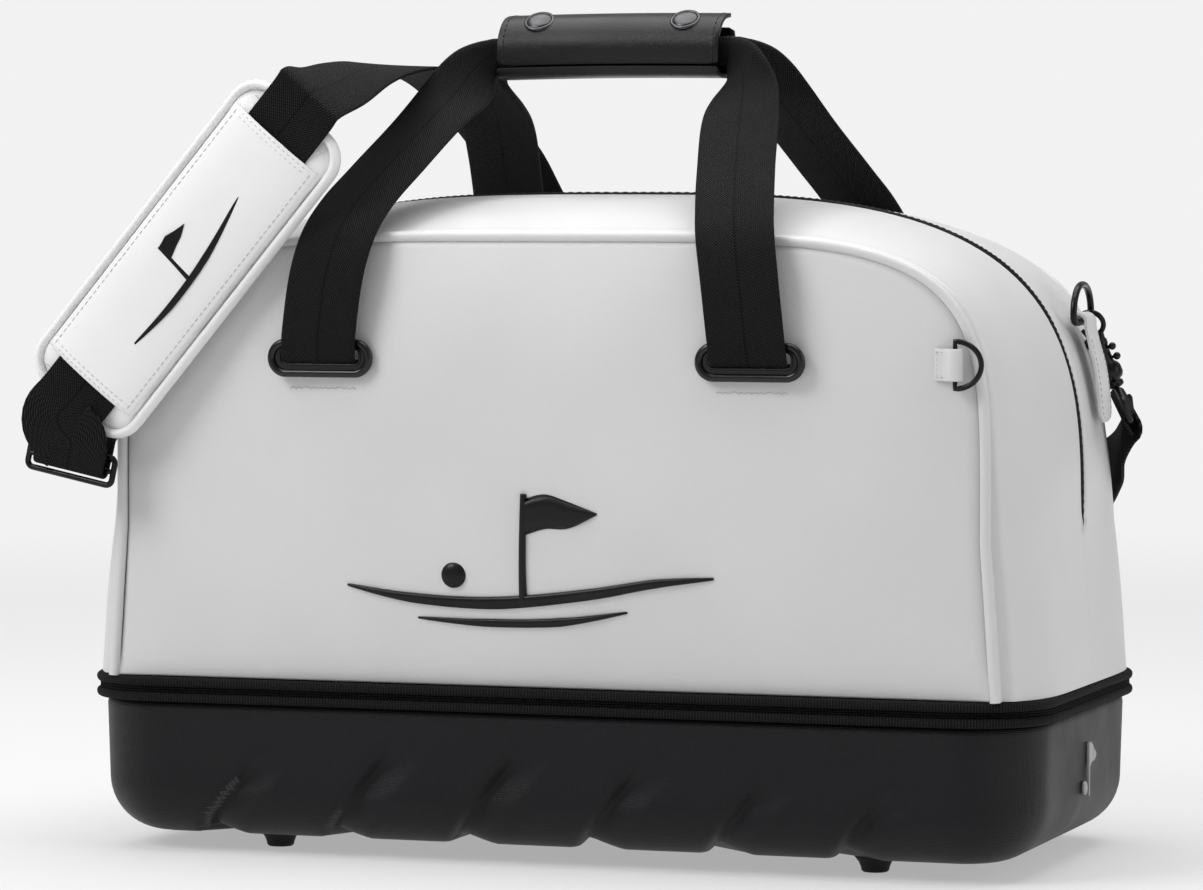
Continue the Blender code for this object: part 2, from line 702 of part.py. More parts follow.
# ===================================================================================================
# end rings, hooks, accessory ring
# ===================================================================================================
def ring_tab(name, turn):
    """A leather tab stitched to the end, folded over the ring's straight bar at its top."""
    pivot = RING_PIVOT
    rows = [(0.2397, 0.2140, 0.0108), (0.2389, 0.2250, 0.0108), (0.2371, 0.2380, 0.0106),
            (0.2345, 0.2480, 0.0102), (0.2325, 0.2560, 0.0096)]
    for s in range(6):
        angle = radians(-12 + 200 * s / 5)
        rows.append((pivot.x + 0.0034 * cos(angle), pivot.z + 0.0034 * sin(angle), 0.0094))
    grid = []
    for x, z, half in rows:
        grid.append([turn(Vector((x, pivot.y + y, z))) for y in (-half, half)])
    inside = turn(Vector((0.215, pivot.y, 0.24)))
    obj = mesh_object(name, sheet(grid, inside), WHITE_LEATHER)
    wall = obj.modifiers.new("wall", "SOLIDIFY")
    wall.thickness = 0.0014
    wall.offset = 1.0
    return obj


def d_ring(name, turn):
    """A D of wire: a straight bar in the tab and a bow that stands above it."""
    points = []
    for s in range(5):
        angle = pi / 2 * s / 4
        points.append((RING_HALF_Y - RING_CORNER * (1 - sin(angle)), RING_CORNER * (1 - cos(angle))))
    for s in range(1, 6):
        angle = pi / 2 * s / 6
        rise = RING_CORNER + (RING_RISE - RING_CORNER) * sin(angle)
        points.append((RING_HALF_Y * cos(angle) ** 0.9, rise))
    points.append((0.0, RING_RISE))
    points += [(-y, z) for y, z in reversed(points[:-1])]
    return tube(name, [turn(RING_PIVOT + Vector((0, y, z))) for y, z in points], RING_WIRE,
                BLACK_METAL, closed=True)


def hook(prefix, turn, aim):
    """A swivel trigger hook that hangs in the lower corner of the D: bow, gate, body and eye."""
    axis, eye_direction = aim
    bend = radians(30)
    wire = Vector((0, cos(bend), sin(bend)))
    held = RING_PIVOT + Vector((0, RING_HALF_Y - RING_CORNER * (1 - sin(bend)),
                                RING_CORNER * (1 - cos(bend))))
    normal = (wire - wire.dot(axis) * axis).normalized()
    side = normal.cross(axis)
    centre = held + axis * 0.0018
    bow = []
    for s in range(12):
        angle = radians(80 - 225 * s / 11)
        bow.append(centre - axis * HOOK_LOOP * cos(angle) + side * HOOK_LOOP * sin(angle))
    tube(f"{prefix}_hook_bow", [turn(p) for p in bow], HOOK_WIRE, BLACK_METAL)
    tip = centre - axis * HOOK_LOOP * cos(radians(112)) + side * HOOK_LOOP * sin(radians(112))
    heel = held + axis * 0.0104 + side * 0.0030
    tube(f"{prefix}_hook_gate", [turn(tip), turn(heel)], 0.0011, BLACK_METAL)
    GATE_HEELS[f"{prefix}_gate"] = turn(heel)
    body = []
    for along, radius in HOOK_BODY:
        ring = []
        for s in range(10):
            angle = 2 * pi * s / 10
            spoke = side * cos(angle) + normal * sin(angle)
            ring.append(turn(held + axis * along + radius * spoke))
        body.append(ring)
    mesh_object(f"{prefix}_hook_body", loft(body), BLACK_METAL)
    across = (eye_direction - eye_direction.dot(axis) * axis).normalized()
    bar = held + axis * EYE_BAR
    eye = []
    for u, w in rounded_outline(0.0232, 0.0058, 0.0026, 3):
        eye.append(turn(bar + across * u + axis * (w - 0.0058)))
    tube(f"{prefix}_hook_eye", eye, 0.0015, BLACK_METAL, closed=True)
    return bar, axis, across


def accessory_ring():
    """A small D ring that lies across the front piping, and the tab that holds its bar."""
    bar = ACCESSORY_BAR
    points = []
    for s in range(11):
        angle = pi * s / 10 - pi / 2
        points.append(bar + Vector((0.0125 * cos(angle), 0, 0.0110 * sin(angle))))
    points.append(bar + Vector((0, 0, 0.004)))
    points.append(bar - Vector((0, 0, 0.004)))
    tube("accessory_ring", points, 0.0013, BLACK_METAL, closed=True)
    profile = [(0.1945, -0.1131), (0.1985, -0.1133), (0.2012, -0.1150)]
    for s in range(7):
        angle = radians(-118 + 204 * s / 6)
        profile.append((bar.x + 0.0027 * cos(angle), bar.y + 0.0027 * sin(angle)))
    grid = [[Vector((x, y, bar.z + z)) for z in (-0.0075, 0.0075)] for x, y in profile]
    obj = mesh_object("accessory_ring_tab", sheet(grid, Vector((0, 0, 0.243))), WHITE_LEATHER)
    wall = obj.modifiers.new("wall", "SOLIDIFY")
    wall.thickness = 0.0010
    wall.offset = 1.0


# ===================================================================================================
# shoulder strap
# ===================================================================================================
def pad_frame():
    across = Vector((0, -1, 0)).cross(PAD_AXIS).normalized()
    out = PAD_AXIS.cross(across)
    return across, out


def shoulder_pad():
    across, out = pad_frame()
    length, width, depth = PAD_SIZE
    matrix = frame_matrix(PAD_CENTRE - out * depth / 2, PAD_AXIS, out)
    outline = rounded_outline(length / 2, width / 2, 0.013, 5)
    plate("shoulder_pad", [outline], depth, matrix, WHITE_LEATHER)
    profile = [(-0.0245, 0.0004), (-0.0215, 0.0004), (-0.0203, 0.0030), (0.0203, 0.0030),
               (0.0215, 0.0004), (0.0245, 0.0004)]
    grid = []
    for a, n in profile:
        base = PAD_CENTRE + across * a + out * n
        grid.append([base + PAD_AXIS * s for s in (-0.076, 0.076)])
    obj = mesh_object("pad_sleeve", sheet(grid, PAD_CENTRE - out * 0.05), WHITE_LEATHER)
    wall = obj.modifiers.new("wall", "SOLIDIFY")
    wall.thickness = 0.0012
    wall.offset = 1.0
    upright = PAD_AXIS
    matrix = frame_matrix(PAD_CENTRE + out * 0.0052 - upright * 0.018, -across, out)
    plate("pad_emblem", [flag_outline(0.040)], 0.0012, matrix, RUBBER)


def eye_loop(bar, axis, across):
    """Rows of webbing folded round a hook's eye bar, from its short tail to the running part."""
    side = across.cross(axis).normalized()
    places = [bar + axis * 0.0090 - side * 0.0014]
    for s in range(5):
        angle = pi * s / 4
        places.append(bar - side * 0.0029 * cos(angle) - axis * 0.0029 * sin(angle))
    places.append(bar + axis * 0.0070 + side * 0.0029)
    return [(place, across, WEB_WIDTH, WEB_THICKNESS) for place in places]


def shoulder_strap(right_hook, left_hook):
    """One length of webbing from the right hook, behind and over the bag, through the pad,
    round the strap slide's bar and back up to the left hook."""
    wide, thin = WEB_WIDTH, WEB_THICKNESS
    across, out = pad_frame()
    rows = eye_loop(*right_hook)
    behind = [
        ((0.2390, 0.0790, 0.2030), (0.20, -0.75, -0.63)),
        ((0.2325, 0.1000, 0.1920), (0.10, -0.50, -0.86)),
        ((0.2150, 0.1290, 0.1780), (0, -0.15, -0.98)),
        ((0.1740, 0.1385, 0.1560), (0.10, 0, -0.99)),
        ((0.1200, 0.1400, 0.1400), (0, 0, -1)),
        ((0.0600, 0.1400, 0.1420), (-0.20, 0, -0.98)),
        ((0.0080, 0.1400, 0.1680), (-0.55, 0, -0.83)),
        ((-0.0350, 0.1400, 0.2120), (-0.82, 0, -0.57)),
        ((-0.0640, 0.1400, 0.2580), (-0.93, 0, -0.36)),
        ((-0.0830, 0.1390, 0.2950), (-1, 0, -0.2)),
        ((-0.0930, 0.1320, 0.3210), (-1, 0, -0.1)),
        ((-0.0980, 0.1130, 0.3440), (-1, 0, 0)),
        ((-0.1020, 0.0800, 0.3630), (-1, 0, 0)),
        ((-0.1060, 0.0400, 0.3790), (-1, 0, 0)),
        ((-0.1080, 0.0000, 0.3850), (-1, 0, 0)),
        ((-0.1080, -0.0400, 0.3850), (-1, 0, 0.12)),
        ((-0.1080, -0.0750, 0.3810), (-0.97, 0, 0.25)),
        ((-0.1085, -0.1040, 0.3745), (-0.88, 0, 0.45)),
    ]
    rows += [(Vector(place), Vector(w), wide, thin) for place, w in behind]
    for s, lift in ((0.104, 0.0014), (0.094, 0.0014), (0.050, 0.0014), (0.0, 0.0014),
                    (-0.050, 0.0014), (-0.088, 0.0018), (-0.100, 0.0030)):
        rows.append((PAD_CENTRE + out * lift + PAD_AXIS * s, across, wide, thin))
    rows.append((Vector((-0.2375, -0.1352, 0.2065)), Vector((-0.96, 0, 0.26)), wide, thin))
    in_front = Vector((0, -0.0038, 0))
    rows.append((SLIDE_BAR + in_front + SLIDE_UP * 0.0100, -SLIDE_ALONG, wide, thin))
    for s in range(5):
        angle = pi * s / 4
        turn = Vector((0, -0.0034 * cos(angle), 0)) - SLIDE_UP * (0.0034 * sin(angle))
        rows.append((SLIDE_BAR + turn, -SLIDE_ALONG, wide, thin))
    inner = [
        ((-0.2345, -0.1260, 0.1985), (-0.97, 0, 0.20)),
        ((-0.2348, -0.1232, 0.2060), (-0.93, -0.25, 0.20)),
        ((-0.2365, -0.1130, 0.2130), (-0.62, -0.50, 0.60)),
    ]
    rows += [(Vector(place), Vector(w), wide, thin) for place, w in inner]
    bar, axis, bar_dir = left_hook
    rows += reversed(eye_loop(half_turn(bar), half_turn(axis), half_turn(bar_dir)))
    flat = [(*place, *w, width, thick) for place, w, width, thick in rows]
    path = smooth_path(flat, 2)
    mesh_object("strap_web", loft(ribbon_sections(path)), WEBBING)


def strap_slide():
    """The wire slide that the webbing turns round, with its loose centre bar."""
    frame = [SLIDE_BAR + SLIDE_ALONG * u + SLIDE_UP * w
             for u, w in rounded_outline(0.0228, 0.0068, 0.003, 2)]
    tube("strap_slide", frame, 0.0015, GLOSS_PLASTIC, closed=True)
    bar = [SLIDE_BAR + SLIDE_ALONG * u for u in (-0.0209, 0.0209)]
    tube("strap_slide_bar", bar, 0.0013, GLOSS_PLASTIC)


def build_strap():
    def stay(point):
        return Vector(point)

    ring_tab("ring_tab_right", stay)
    ring_tab("ring_tab_left", half_turn)
    d_ring("d_ring_right", stay)
    d_ring("d_ring_left", half_turn)
    right_hook = hook("right", stay, RIGHT_HOOK)
    left_hook = hook("left", half_turn, LEFT_HOOK)
    accessory_ring()
    shoulder_pad()
    shoulder_strap(right_hook, left_hook)
    strap_slide()


# ===================================================================================================
# raised emblem on the front panel
# ===================================================================================================
def front_emblem():
    """A generic pin flag over a fairway line, raised on the front panel."""
    face = Vector((0, -1, 0))
    flag_place = frame_matrix(Vector((-0.004, -0.1240, 0.136)), Vector((1, 0, 0)), face)
    plate("emblem_flag", [flag_outline(0.046)], 0.0014, flag_place, RUBBER)
    line = []
    for s in range(25):
        x = -0.090 + 0.180 * s / 24
        z = 0.130 + 0.0035 * sin((x + 0.09) / 0.180 * 2 * pi)
        line.append(Vector((x, -panel_y(x, z) - 0.0026, z)))
    tube("emblem_fairway", line, 0.0016, RUBBER)


# ===================================================================================================
# moving bodies
# ===================================================================================================
PLACES = {
    "upper": ((0, HINGE_Y, HINGE_Z), None),
    "mouth_front": ((0, -HALF_DEPTH, ARCH_Z + PIPE_RISE), "upper"),
    "mouth_rear": ((0, HALF_DEPTH, ARCH_Z + PIPE_RISE), "upper"),
    "front_handle": ((0, -HANDLE_PIVOT_Y, HANDLE_PIVOT_Z), "upper"),
    "rear_handle": ((0, HANDLE_PIVOT_Y, HANDLE_PIVOT_Z), "upper"),
    "grip_flap": ((0, -0.0135, 0.3838), "rear_handle"),
    "main_slider": ((-0.2408, 0, 0.1760), "upper"),
    "main_pull": ((-0.2443, 0, 0.1800), "main_slider"),
    "shoe_slider": ((-0.2467, 0.0550, 0.0805), None),
    "shoe_pull": ((-0.2500, 0.0550, 0.0790), "shoe_slider"),
    "accessory_ring": (tuple(ACCESSORY_BAR), "upper"),
    "right_ring": (tuple(RING_PIVOT), "upper"),
    "left_ring": (tuple(half_turn(RING_PIVOT)), "upper"),
    "right_gate": (None, "right_ring"),
    "left_gate": (None, "left_ring"),
    "strap_slide": (tuple(SLIDE_BAR), "upper"),
    "shoulder_pad": (tuple(PAD_CENTRE), "upper"),
}
RIDERS = {
    "upper": ["upper_rim_band", "shoe_zip_upper", "base_board", "front_panel", "back_panel",
              "front_piping", "back_piping", "end_gusset_left", "end_gusset_right",
              "main_zip_left", "main_zip_right", "front_grommet_left", "front_grommet_right",
              "rear_grommet_left", "rear_grommet_right", "ring_tab_left", "ring_tab_right",
              "accessory_ring_tab", "strap_web", "emblem_flag", "emblem_fairway"],
    "mouth_front": ["mouth_flap_front", "mouth_zip_front"],
    "mouth_rear": ["mouth_flap_rear", "mouth_zip_rear"],
    "front_handle": ["front_handle_web"],
    "rear_handle": ["rear_handle_web", "grip_wrap"],
    "grip_flap": ["grip_flap", "grip_snap_left", "grip_snap_right"],
    "main_slider": ["main_zip_slider"],
    "main_pull": ["main_zip_pull"],
    "shoe_slider": ["shoe_zip_slider"],
    "shoe_pull": ["shoe_zip_pull"],
    "accessory_ring": ["accessory_ring"],
    "right_ring": ["d_ring_right", "right_hook_bow", "right_hook_body", "right_hook_eye"],
    "left_ring": ["d_ring_left", "left_hook_bow", "left_hook_body", "left_hook_eye"],
    "right_gate": ["right_hook_gate"],
    "left_gate": ["left_hook_gate"],
    "strap_slide": ["strap_slide", "strap_slide_bar"],
    "shoulder_pad": ["shoulder_pad", "pad_sleeve", "pad_emblem"],
}


def keep_place(child, parent, parent_place):
    child.parent = parent
    child.matrix_parent_inverse = Matrix.Translation(parent_place).inverted()


def hang_bodies():
    """Puts an empty on each joint's axis and parents the body's pieces to it where they stand."""
    pivots = {}
    for body, (place, carrier) in PLACES.items():
        where = Vector(place or GATE_HEELS[body])
        pivot = bpy.data.objects.new(f"pivot_{body}", None)
        pivot.empty_display_size = 0.01
        bpy.context.scene.collection.objects.link(pivot)
        if carrier:
            keep_place(pivot, *pivots[carrier])
        pivot.location = where
        pivots[body] = (pivot, where)
        for name in RIDERS[body]:
            keep_place(bpy.data.objects[name], pivot, where)


build_tray()
build_upper()
build_handles()
build_sliders()
build_strap()
front_emblem()
hang_bodies()
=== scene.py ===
"""Looks of the golf duffel bag: every visible surface, its materials, the light and the camera.

Units are metres in the CAD's frame: +Z up, the front faces -Y, the origin is on the floor.
"""
from math import cos, pi, radians, sin

import bmesh
import bpy
import numpy as np
from mathutils import Matrix, Vector


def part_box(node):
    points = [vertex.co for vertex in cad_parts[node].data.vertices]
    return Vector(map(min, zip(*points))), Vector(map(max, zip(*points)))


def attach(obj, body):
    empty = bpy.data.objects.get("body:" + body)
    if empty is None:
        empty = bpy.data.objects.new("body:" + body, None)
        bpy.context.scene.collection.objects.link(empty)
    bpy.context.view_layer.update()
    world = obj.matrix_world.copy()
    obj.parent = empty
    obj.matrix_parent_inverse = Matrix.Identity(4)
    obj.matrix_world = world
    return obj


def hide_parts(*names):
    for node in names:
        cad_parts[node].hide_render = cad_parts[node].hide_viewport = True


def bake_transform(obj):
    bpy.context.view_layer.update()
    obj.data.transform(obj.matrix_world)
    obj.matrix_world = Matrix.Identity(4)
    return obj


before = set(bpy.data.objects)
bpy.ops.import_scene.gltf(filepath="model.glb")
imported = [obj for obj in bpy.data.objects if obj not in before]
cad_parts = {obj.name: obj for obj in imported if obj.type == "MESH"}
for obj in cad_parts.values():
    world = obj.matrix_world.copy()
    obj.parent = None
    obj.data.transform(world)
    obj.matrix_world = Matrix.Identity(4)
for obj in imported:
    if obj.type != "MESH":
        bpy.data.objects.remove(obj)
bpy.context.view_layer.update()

# --- driving dimensions, the same as the CAD's -----------------------------------------------------
TRAY_HALF_X = 0.240
TRAY_HALF_Y = 0.113
TRAY_CORNER = 0.042
TRAY_BOTTOM = 0.008
TRAY_FILLET = 0.026
TRAY_TAPER = 0.002
TRAY_TOP = 0.0743
GROOVE_STARTS = (-0.178, -0.113, -0.048, 0.017, 0.082, 0.145)    # x at the foot of each groove
GROOVE_TOPS = (0.050, 0.058, 0.058, 0.053, 0.048, 0.044)         # height where each one fades out
GROOVE_SLOPE = 0.80          # sideways run per unit of height
GROOVE_DEPTH = 0.0054
BAND_HALF_X = 0.244
BAND_HALF_Y = 0.117
BAND_WIDTH = 0.0065
BAND_LOWER = (0.0745, 0.0792)
BAND_UPPER = (0.0818, 0.0865)
FOOT_Z = 0.0869
ARCH_Z = 0.160
FOOT_HALF_X = 0.2225
PIPE_HALF_X = 0.2175
PIPE_RISE = 0.1415
PIPE_POWER = 4.8
CROWN = 0.0205
CROWN_POWER = 3.3
SHOULDER_Z = 0.235
ROUND_SECTION = 2.4
SQUARE_SECTION = 7.0
HALF_DEPTH = 0.110
PANEL_BULGE = 0.012
SKIN = 0.0024
WEB_WIDTH = 0.038
WEB_THICKNESS = 0.0018
GROMMET_X = 0.108
GROMMET_Z = 0.2435
GROMMET_Y = 0.1231
GRIP_HALF = 0.0575
RING_PIVOT = Vector((0.2288, 0.033, 0.2600))
RING_HALF_Y = 0.0178
RING_RISE = 0.0182
RING_WIRE = 0.0017
RING_CORNER = 0.0040
RIGHT_HOOK = (Vector((0.26, 0.40, -0.88)).normalized(), Vector((0.40, -0.83, -0.40)))
LEFT_HOOK = (Vector((0.12, 0.78, -0.61)).normalized(), Vector((0.0, 0.61, 0.78)))
HOOK_LOOP = 0.0062
HOOK_WIRE = 0.0013
EYE_BAR = 0.0485
PAD_CENTRE = Vector((-0.1768, -0.1290, 0.2905))
PAD_AXIS = Vector((0.640, 0.030, 0.768)).normalized()
PAD_SIZE = (0.184, 0.064, 0.008)
SLIDE_BAR = Vector((-0.2355, -0.1312, 0.1918))
SLIDE_LEAN = radians(12)
SLIDE_ALONG = Vector((cos(SLIDE_LEAN), 0, -sin(SLIDE_LEAN)))
SLIDE_UP = Vector((sin(SLIDE_LEAN), 0, cos(SLIDE_LEAN)))
ACCESSORY_BAR = Vector((0.2050, -0.1165, 0.2430))
FLOOR_RADIUS = 14.0          # beyond every camera, so the wall never stands in a view
DIM_RADIUS = 0.7             # the floor is at its darkest inside this
PALE_RADIUS = 2.6            # and as pale as the wall outside this
FLOOR_TONE = 0.40            # both reflected and given off, inside DIM_RADIUS
WALL_CURVE = 0.8
WALL_TOP = 14.0
STAGE_GLOW = 0.89


# ===================================================================================================
# camera, light and floor
# ===================================================================================================
def add_camera():
    camera = bpy.data.cameras.new("camera")
    camera.sensor_width = 36.0
    camera.lens = 151.93
    camera.clip_end = 20
    view = bpy.data.objects.new("camera", camera)
    view.location = (0.81283, -2.38239, 0.31413)
    view.rotation_euler = (radians(90 - 2.6417), 0, radians(19.0017))
    bpy.context.scene.collection.objects.link(view)
    bpy.context.scene.camera = view


def add_light(name, place, target, size, power):
    light = bpy.data.lights.new(name, "AREA")
    light.shape = "RECTANGLE"
    light.size, light.size_y = size
    light.energy = power
    lamp = bpy.data.objects.new(name, light)
    lamp.location = place
    lamp.rotation_euler = (Vector(target) - Vector(place)).to_track_quat("-Z", "Y").to_euler()
    bpy.context.scene.collection.objects.link(lamp)


def add_studio():
    add_light("key_softbox", (-1.25, -1.45, 1.75), (-0.05, 0, 0.25), (1.1, 1.1), 29)
    add_light("top_softbox", (0.0, 0.25, 2.2), (0, 0, 0.1), (2.6, 2.0), 51)
    add_light("right_softbox", (2.2, -0.2, 0.9), (0.1, 0, 0.2), (1.0, 1.4), 7)
    world = bpy.data.worlds.new("studio")
    world.use_nodes = True
    background = world.node_tree.nodes["Background"]
    background.inputs["Color"].default_value = (1.0, 1.0, 1.0, 1.0)
    background.inputs["Strength"].default_value = 0.33
    bpy.context.scene.world = world
    bpy.context.scene.view_settings.view_transform = "Standard"


def lathe_round(name, profile, steps=72):
    """A surface turned about the vertical axis through the origin."""
    bm = bmesh.new()
    rows = []
    for radius, z in profile:
        turn = np.linspace(0, 2 * pi, steps, endpoint=False)
        rows.append([bm.verts.new((radius * cos(a), radius * sin(a), z)) for a in turn])
    for low, high in zip(rows, rows[1:]):
        for k in range(steps):
            bm.faces.new((low[k - 1], low[k], high[k], high[k - 1]))
    mesh = bpy.data.meshes.new(name)
    bm.to_mesh(mesh)
    bm.free()
    mesh.shade_smooth()
    return mesh


def stage_material(name, albedo, glow):
    material = bpy.data.materials.new(name)
    material.use_nodes = True
    shader = material.node_tree.nodes["Principled BSDF"]
    shader.inputs["Base Color"].default_value = (albedo, albedo, albedo, 1.0)
    shader.inputs["Emission Color"].default_value = (1.0, 1.0, 1.0, 1.0)
    shader.inputs["Emission Strength"].default_value = glow
    shader.inputs["Roughness"].default_value = 0.75
    shader.inputs["Specular IOR Level"].default_value = 0.0
    return material


def fade_outwards(tree, shader):
    """Blends the floor's tone from its dim middle to the glow of the wall."""
    place = tree.nodes.new("ShaderNodeTexCoord")
    away = tree.nodes.new("ShaderNodeVectorMath")
    away.operation = "LENGTH"
    tree.links.new(place.outputs["Object"], away.inputs[0])
    for socket, far in (("Emission Strength", STAGE_GLOW), ("Base Color", 0.0)):
        spread = tree.nodes.new("ShaderNodeMapRange")
        spread.interpolation_type = "SMOOTHSTEP"
        spread.inputs["From Min"].default_value = DIM_RADIUS
        spread.inputs["From Max"].default_value = PALE_RADIUS
        spread.inputs["To Min"].default_value = FLOOR_TONE
        spread.inputs["To Max"].default_value = far
        tree.links.new(away.outputs["Value"], spread.inputs["Value"])
        tree.links.new(spread.outputs["Result"], shader.inputs[socket])


def add_floor():
    """A pale round floor that brightens outwards into a pale wall all the way round."""
    disc = lathe_round("floor_disc", [(0.001, 0), (1.0, 0), (FLOOR_RADIUS, 0)])
    floor = bpy.data.objects.new("floor_disc", disc)
    material = stage_material("pale_floor", FLOOR_TONE, FLOOR_TONE)
    fade_outwards(material.node_tree, material.node_tree.nodes["Principled BSDF"])
    floor.data.materials.append(material)
    curve = [(FLOOR_RADIUS + WALL_CURVE * sin(a), WALL_CURVE - WALL_CURVE * cos(a))
             for a in np.linspace(0, pi / 2, 12)]
    profile = curve + [(FLOOR_RADIUS + WALL_CURVE, WALL_TOP)]
    wall_round = bpy.data.objects.new("wall_round", lathe_round("wall_round", profile))
    wall_round.data.materials.append(stage_material("pale_wall", 0.0, STAGE_GLOW))
    for kind in ("visible_diffuse", "visible_glossy", "visible_transmission", "visible_shadow"):
        setattr(wall_round, kind, False)
    for stage in (floor, wall_round):
        bpy.context.scene.collection.objects.link(stage)


# ===================================================================================================
# materials
# ===================================================================================================
class Nodes:
    """A short way to write a node tree for one material."""

    def __init__(self, name, colour, roughness, metallic=0.0, specular=0.5):
        self.material = bpy.data.materials.new(name)
        self.material.use_nodes = True
        self.tree = self.material.node_tree
        self.shader = self.tree.nodes["Principled BSDF"]
        self.shader.inputs["Base Color"].default_value = (*colour, 1.0)
        self.shader.inputs["Roughness"].default_value = roughness
        self.shader.inputs["Metallic"].default_value = metallic
        self.shader.inputs["Specular IOR Level"].default_value = specular

    def add(self, kind, inputs=None, **settings):
        node = self.tree.nodes.new(kind)
        for key, value in settings.items():
            setattr(node, key, value)
        for key, value in (inputs or {}).items():
            self.put(node.inputs[key], value)
        return node

    def put(self, socket, value):
        if isinstance(value, bpy.types.NodeSocket):
            self.tree.links.new(value, socket)
        else:
            socket.default_value = value

    def place(self, kind="Object"):
        return self.add("ShaderNodeTexCoord").outputs[kind]

    def noise(self, scale, detail=3.0, where=None):
        inputs = {"Vector": where or self.place(), "Scale": scale, "Detail": detail}
        return self.add("ShaderNodeTexNoise", inputs).outputs["Fac"]

    def math(self, operation, a, b=0.0):
        return self.add("ShaderNodeMath", {0: a, 1: b}, operation=operation).outputs[0]

    def remap(self, value, low, high, out_low, out_high):
        inputs = {"Value": value, "From Min": low, "From Max": high,
                  "To Min": out_low, "To Max": out_high}
        return self.add("ShaderNodeMapRange", inputs).outputs["Result"]

    def mix(self, factor, a, b):
        node = self.add("ShaderNodeMix", data_type="RGBA")
        self.put(node.inputs["Factor"], factor)
        self.put(node.inputs["A"], (*a, 1.0))
        self.put(node.inputs["B"], (*b, 1.0))
        return node.outputs["Result"]

    def bump(self, height, distance, strength=1.0, below=None):
        inputs = {"Height": height, "Distance": distance, "Strength": strength}
        node = self.add("ShaderNodeBump", inputs)
        if below is not None:
            self.put(node.inputs["Normal"], below)
        return node.outputs["Normal"]

    def finish(self, colour=None, roughness=None, normal=None):
        for name, value in (("Base Color", colour), ("Roughness", roughness), ("Normal", normal)):
            if value is not None:
                self.put(self.shader.inputs[name], value)
        return self.material


def leather_material(name, light, dark, roughness, grain, depth, specular=0.5):
    """Coated leather: broad tone variation, a fine pebble and slightly uneven gloss."""
    n = Nodes(name, light, roughness, specular=specular)
    tone = n.remap(n.noise(9, 2.0), 0.35, 0.65, 0.0, 1.0)
    gloss = n.remap(n.noise(30, 3.0), 0.3, 0.7, roughness - 0.05, roughness + 0.06)
    cells = n.add("ShaderNodeTexVoronoi", {"Vector": n.place(), "Scale": grain},
                  feature="DISTANCE_TO_EDGE").outputs["Distance"]
    pebble = n.bump(n.remap(cells, 0.0, 0.25, 0.0, 1.0), depth, 0.35)
    soft = n.bump(n.noise(140, 4.0), 0.00012, 0.5, pebble)
    return n.finish(n.mix(tone, light, dark), gloss, soft)


def plain_material(name, light, dark, roughness, scale, metallic=0.0, depth=0.00004, specular=0.5):
    """Moulded plastic, rubber or plated metal with faint mottling and a fine surface."""
    n = Nodes(name, light, roughness, metallic, specular)
    mottle = n.noise(scale, 4.0)
    tone = n.remap(mottle, 0.35, 0.65, 0.0, 1.0)
    gloss = n.remap(n.noise(scale * 3, 3.0), 0.3, 0.7, roughness - 0.04, roughness + 0.06)
    return n.finish(n.mix(tone, light, dark), gloss, n.bump(n.noise(scale * 12), depth, 0.5))


def split_uv(n):
    uv = n.add("ShaderNodeSeparateXYZ", {"Vector": n.place("UV")})
    return uv.outputs["X"], uv.outputs["Y"]


def webbing_material():
    """Herringbone twill: diagonal ribs that turn at the web's centre line, with plain edges; its colour
    carries painted highlights on the ribs and painted shade between them.
    """
    n = Nodes("herringbone_web", (0.010, 0.010, 0.011), 0.78, specular=0.16)
    across, along = split_uv(n)
    from_centre = n.math("ABSOLUTE", n.math("SUBTRACT", across, WEB_WIDTH / 2))
    slanted = n.math("ADD", along, n.math("MULTIPLY", from_centre, 1.25))
    rib = n.math("SINE", n.math("MULTIPLY", slanted, 2 * pi / 0.00165))
    yarn = n.math("SINE", n.math("MULTIPLY", across, 2 * pi / 0.0009))
    weave = n.math("ADD", rib, n.math("MULTIPLY", yarn, 0.45))
    # painted highlight on the rib crests and painted shade in the hollows between them; the colour also
    # goes dark along the centre line
    lit = n.remap(weave, 0.4, 1.4, 0.0, 1.0)
    centre = n.remap(from_centre, 0.0004, 0.0009, 0.0, 1.0)
    fuzz = n.remap(n.noise(900, 2.0), 0.3, 0.7, 0.55, 1.0)
    shade = n.math("MULTIPLY", n.math("MULTIPLY", lit, fuzz), centre)
    colour = n.mix(shade, (0.0008, 0.0008, 0.0009), (0.0420, 0.0410, 0.0420))
    return n.finish(colour, None, n.bump(weave, 0.00022, 0.8))


def tray_material():
    """Moulded foam under a fine two-way woven skin, a warm charcoal, with painted sheen on the weave's
    raised dots.
    """
    n = Nodes("moulded_weave", (0.016, 0.013, 0.017), 0.40, specular=0.24)
    along, up = split_uv(n)
    first = n.math("SINE", n.math("MULTIPLY", n.math("ADD", along, up), 2 * pi / 0.0017))
    second = n.math("SINE", n.math("MULTIPLY", n.math("SUBTRACT", along, up), 2 * pi / 0.0017))
    dots = n.math("MULTIPLY", first, second)
    # painted highlight: the raised dots of the weave are painted lighter and the hollows between them
    # darker
    lit = n.remap(dots, 0.1, 0.9, 0.0, 1.0)
    broad = n.remap(n.noise(14, 2.0), 0.35, 0.65, 0.6, 1.0)
    colour = n.mix(n.math("MULTIPLY", lit, broad), (0.0028, 0.0019, 0.0031), (0.0150, 0.0112, 0.0160))
    gloss = n.remap(n.noise(40, 2.0), 0.3, 0.7, 0.36, 0.44)
    return n.finish(colour, gloss, n.bump(dots, 0.00018, 0.55))


